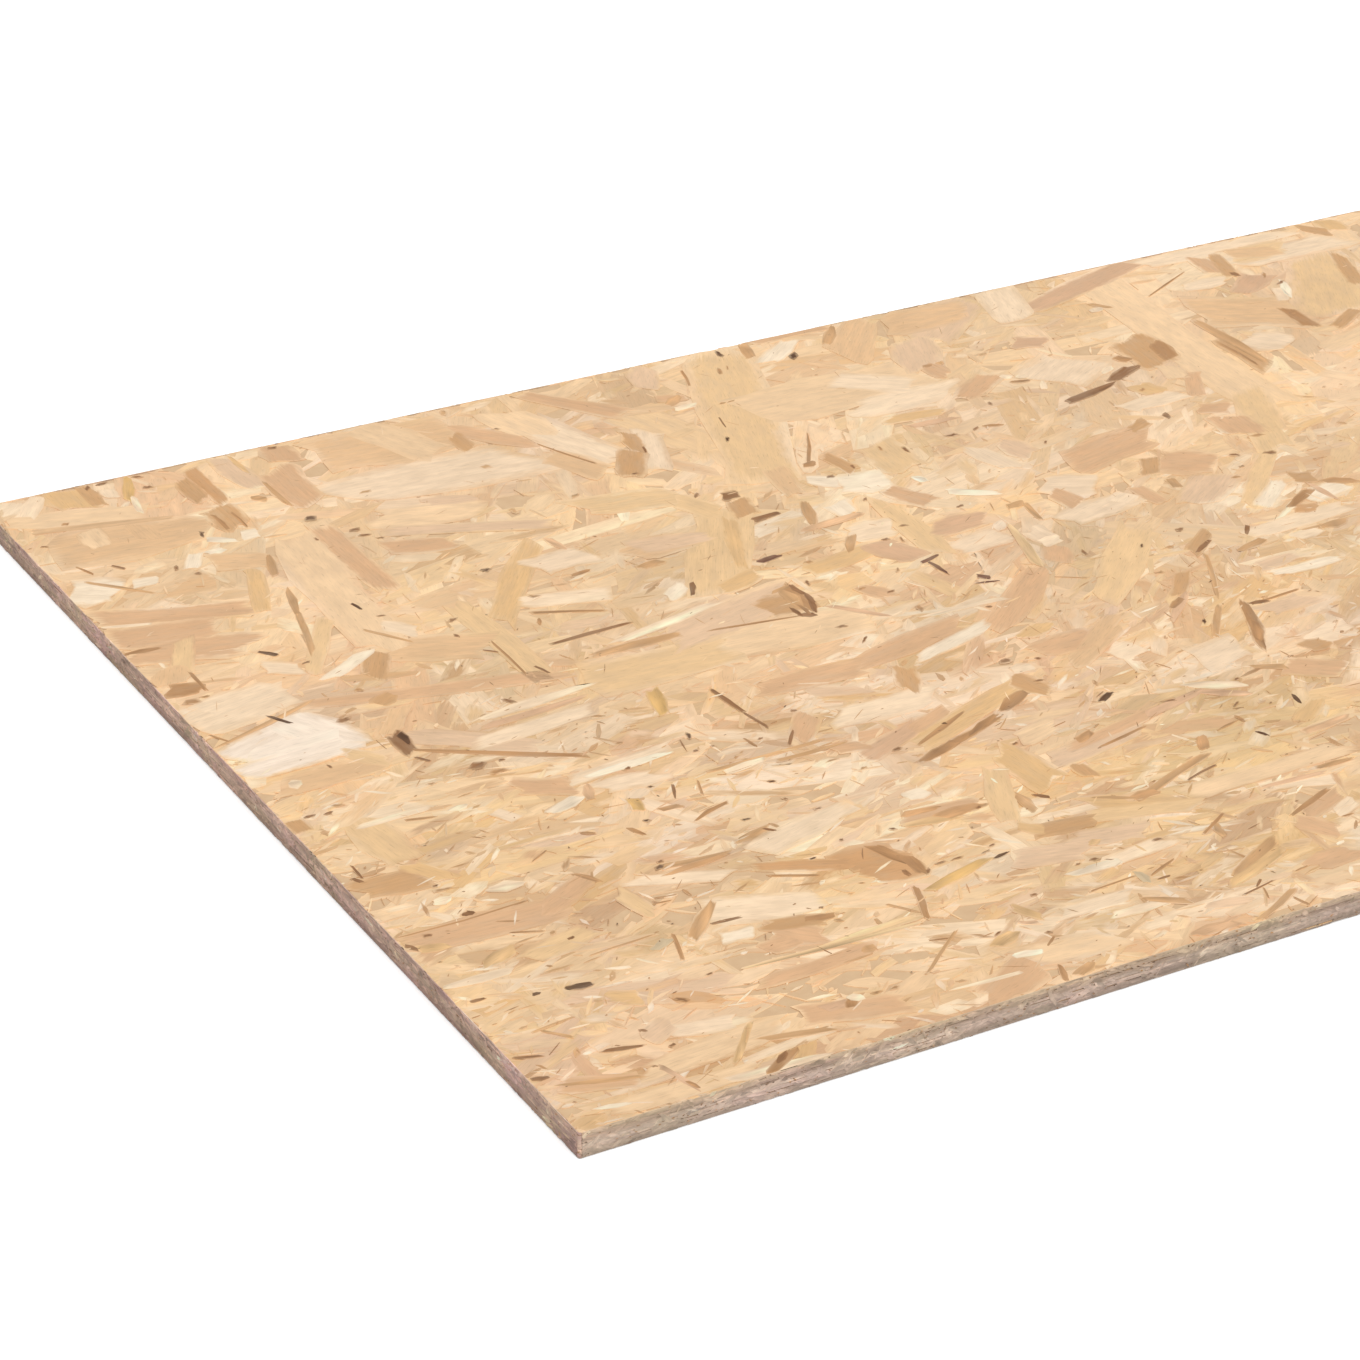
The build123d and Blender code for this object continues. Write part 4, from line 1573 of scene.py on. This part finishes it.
@dataclass(frozen=True)
class Studio:
    """A pale floor, soft studio light from the front and above, and the camera at the photograph's angle.

    The eye, the floor's reach and the near limit are in metres, and angles are in degrees.
    """

    eye: Triple = (-1.14927, -1.33782, 0.79935)
    yaw: float = 29.342
    pitch: float = 27.449
    roll: float = 0.146
    lens_mm: float = 103.21
    sensor_mm: float = 36.0
    near: float = 0.01
    sky: float = 0.55
    key: float = 0.52
    key_turn: Pair = (35.0, -6.0)
    key_breadth: float = 50.0
    floor_reach: float = 8.0
    floor_drop_mm: float = 0.3
    floor_bounce: float = 0.4
    floor_glow: float = 0.28

    def camera(self) -> None:
        """Sets the camera: from +Y towards +X by the yaw, down by the pitch, then rolled on its axis."""
        data = bpy.data.cameras.new("camera")
        data.lens = self.lens_mm
        data.sensor_width = self.sensor_mm
        data.clip_start = self.near
        camera = bpy.data.objects.new("camera", data)
        turn = Euler((math.radians(90.0 - self.pitch), 0.0, math.radians(-self.yaw))).to_matrix()
        turn = turn @ Matrix.Rotation(math.radians(self.roll), 3, "Z")
        camera.matrix_world = Matrix.Translation(self.eye) @ turn.to_4x4()
        bpy.context.scene.collection.objects.link(camera)
        bpy.context.scene.camera = camera

    def light(self) -> None:
        """Hangs one broad soft key over the front and fills the rest with an even sky."""
        data = bpy.data.lights.new("key", "SUN")
        data.energy = self.key * math.pi
        data.angle = math.radians(self.key_breadth)
        lamp = bpy.data.objects.new("key", data)
        lamp.rotation_euler = (math.radians(self.key_turn[0]), 0.0, math.radians(self.key_turn[1]))
        bpy.context.scene.collection.objects.link(lamp)
        world = bpy.data.worlds.new("studio")
        bpy.context.scene.world = world
        world.use_nodes = True
        tree = world.node_tree
        tree.nodes.clear()
        sky, white = (
            add(tree, "ShaderNodeBackground", {"Color": WHITE_LIGHT, "Strength": strength}).outputs[0]
            for strength in (self.sky, 1.0)
        )
        mix = add(tree, "ShaderNodeMixShader", {0: self.seen(tree), 1: sky, 2: white})
        add(tree, "ShaderNodeOutputWorld", {"Surface": mix.outputs[0]})

    @staticmethod
    def seen(tree: Tree) -> Socket:
        """Gives 1 where a camera, glossy or transmission ray looks, and 0 where light is only gathered."""
        path = add(tree, "ShaderNodeLightPath").outputs
        looks = path["Is Camera Ray"]
        for ray in ("Is Glossy Ray", "Is Transmission Ray"):
            looks = add(tree, "ShaderNodeMath", {0: looks, 1: path[ray]}, operation="MAXIMUM").outputs[0]
        return looks

    def floor(self) -> None:
        """Lays the pale floor, white where it is looked at and greyer for the light it throws back."""
        mesh = bpy.data.meshes.new("floor")
        far, drop = self.floor_reach, -self.floor_drop_mm * MM
        corners = [(x * far, y * far, drop) for x, y in ((-1, -1), (1, -1), (1, 1), (-1, 1))]
        mesh.from_pydata(corners, [], [(0, 1, 2, 3)])
        material, tree = blank_material("studio_floor")
        pale = add(tree, "ShaderNodeBsdfDiffuse", {"Color": WHITE_LIGHT})
        glow = add(tree, "ShaderNodeEmission", {"Color": WHITE_LIGHT, "Strength": self.floor_glow})
        white = add(tree, "ShaderNodeAddShader", {0: pale.outputs[0], 1: glow.outputs[0]})
        grey = add(tree, "ShaderNodeBsdfDiffuse", {"Color": (*(self.floor_bounce,) * 3, 1.0)})
        mix = add(tree, "ShaderNodeMixShader", {0: self.seen(tree), 1: grey.outputs[0], 2: white.outputs[0]})
        add(tree, "ShaderNodeOutputMaterial", {"Surface": mix.outputs[0]})
        mesh.materials.append(material)
        floor = bpy.data.objects.new("floor", mesh)
        bpy.context.scene.collection.objects.link(floor)


def edge_planes(hx: float, hy: float, thick: float, corner: float, inset: float) -> list[FacePlane]:
    """Gives the four sawn edges and the four round corners between them.

    Args:
        hx: Half the board's length.
        hy: Half its width.
        thick: Its thickness.
        corner: The corners' radius.
        inset: How far the edges stop short of the two faces.

    Returns:
        The planes, edges first.
    """
    mid, rise = thick / 2, thick / 2 - inset
    up = (0.0, 0.0, 1.0)
    planes = []
    for x, y in ((0, -1), (1, 0), (0, 1), (-1, 0)):
        run = hx if x == 0 else hy
        planes.append(FacePlane((x * hx, y * hy, mid), (-y, x, 0), up, (x, y, 0), (run - corner, rise)))
    arc = corner * math.pi / 4
    half = math.sqrt(0.5)
    for x, y in ((1, -1), (1, 1), (-1, 1), (-1, -1)):
        axis = (x * (hx - corner), y * (hy - corner), mid)
        along = (-y * half, x * half, 0)
        planes.append(CornerBend(axis, along, up, (x * half, y * half, 0), (arc, rise), radius=corner))
    return planes


# In millimetres: the sawn corners' radius, and how far a face's strands stop short of the edges and an
# edge's of the faces.
CORNER = 1.5
FACE_INSET = 0.3
EDGE_INSET = 0.03
# The cells of the faces' beds, and the lengths of the waves in the tones, in millimetres.
FACE_CELL = 1.5
FACE_WAVES: Pair = (60.0, 340.0)
EDGE_WAVES: Pair = (9.0, 90.0)
# The tones of the pressed mat's layers where the saw shows them, from the underside to the top face. The
# paler tones towards the top face are partly painted light: the light caught along the top arris.
LONG_LAYERS_AND_ARRIS_LIGHT = (
    (0.0, "B6A290"),
    (0.2, "C5AE9B"),
    (0.36, "D6BDAA"),
    (0.5, "E1C9B4"),
    (0.68, "C2A892"),
    (0.82, "D1B69D"),
    (1.0, "E4C8A8"),
)
SHORT_LAYERS_AND_ARRIS_LIGHT = ((0.0, "C0A08F"), (0.3, "D7B6A2"), (0.6, "E4C3AD"), (0.85, "DEBBA8"), (1.0, "E0BFAB"))
PRESSED = StrandFinish(
    name="pressed_aspen_and_pine_strands",
    streak_mm=(20.0, 1.2),
    blotch_mm=(16.0, 5.0),
    hair_mm=(7.0, 0.5),
    streak_depth=0.04,
    blotch_depth=0.06,
    hair_depth=0.16,
    fray=1.2,
    roughness=(0.55, 0.72),
    relief_mm=0.02,
    end_share=0.6,
    side_share=0.7,
    veil=0.28,
)
LAST_LAID = replace(PRESSED, name="last_laid_strands", fray=0.8, veil=0.14)
SAWN = StrandFinish(
    name="sawn_strand_ends",
    streak_mm=(4.0, 1.6),
    blotch_mm=(6.0, 3.0),
    hair_mm=(2.4, 0.9),
    streak_depth=0.12,
    blotch_depth=0.14,
    hair_depth=0.16,
    fray=1.4,
    roughness=(0.7, 0.85),
    relief_mm=0.08,
    curl_mm=(2.5, 1.0),
)
GLUED = CoreFinish("glued_strand_core", light="E4C49B", dark="D2AC84", patch_mm=6.0)


def main() -> None:
    """Loads the frame, builds the board's pieces in order and sets the studio."""
    logging.basicConfig(level=logging.INFO, format="%(name)s %(message)s")
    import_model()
    low, high = (np.array(corner, dtype=float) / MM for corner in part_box(NODE))
    hx, hy = (float(v) for v in (high - low)[:2] / 2)
    thick = float(high[2] - low[2])
    reach = (hx - FACE_INSET, hy - FACE_INSET)
    top = FacePlane((0, 0, thick), (1, 0, 0), (0, 1, 0), (0, 0, 1), reach, CORNER)
    under = FacePlane((0, 0, 0), (1, 0, 0), (0, -1, 0), (0, 0, -1), reach, CORNER)
    edges = edge_planes(hx, hy, thick, CORNER, EDGE_INSET)
    face_finish = PRESSED.material()
    laid_finish = LAST_LAID.material()
    edge_finish = SAWN.material()

    Core(hx, hy, thick).build(GLUED.material())
    top_ground = FaceGround(seed=5, wave_mm=FACE_WAVES, light=0.06, blush=0.015, mean=Wood.CREAM)
    top_mat = StrandMat("top", Bed(top, top_ground, FACE_CELL), seed=11)
    rng = np.random.default_rng(top_mat.seed)
    top_mat.press(TOP_GRADES, face_finish, rng)
    top_mat.lay_last(laid_finish, rng)

    under_bed = Bed(under, replace(top_ground, seed=6), FACE_CELL)
    under_mat = StrandMat("underside", under_bed, seed=29, main_lay=0.0, cross_share=0.0)
    under_mat.press(UNDER_GRADES, face_finish, np.random.default_rng(under_mat.seed))

    # The edges' upper tones carry painted light along the top arris as well as the mat's layers.
    long_ground = LayeredGround(
        seed=7, wave_mm=EDGE_WAVES, light=0.11, blush=0.03, layers=LONG_LAYERS_AND_ARRIS_LIGHT, half_height=thick / 2
    )
    short_ground = replace(long_ground, seed=8, light=0.17, blush=0.07, layers=SHORT_LAYERS_AND_ARRIS_LIGHT)
    SawnEdges("sawn_long_edges", edges[0::2], long_ground, seed=71).build(edge_finish)
    SawnEdges("sawn_short_edges", edges[1::2], short_ground, seed=72).build(edge_finish)

    studio = Studio()
    studio.camera()
    studio.light()
    studio.floor()
    bpy.context.scene.view_settings.view_transform = "Standard"


if __name__ == "__main__":
    main()
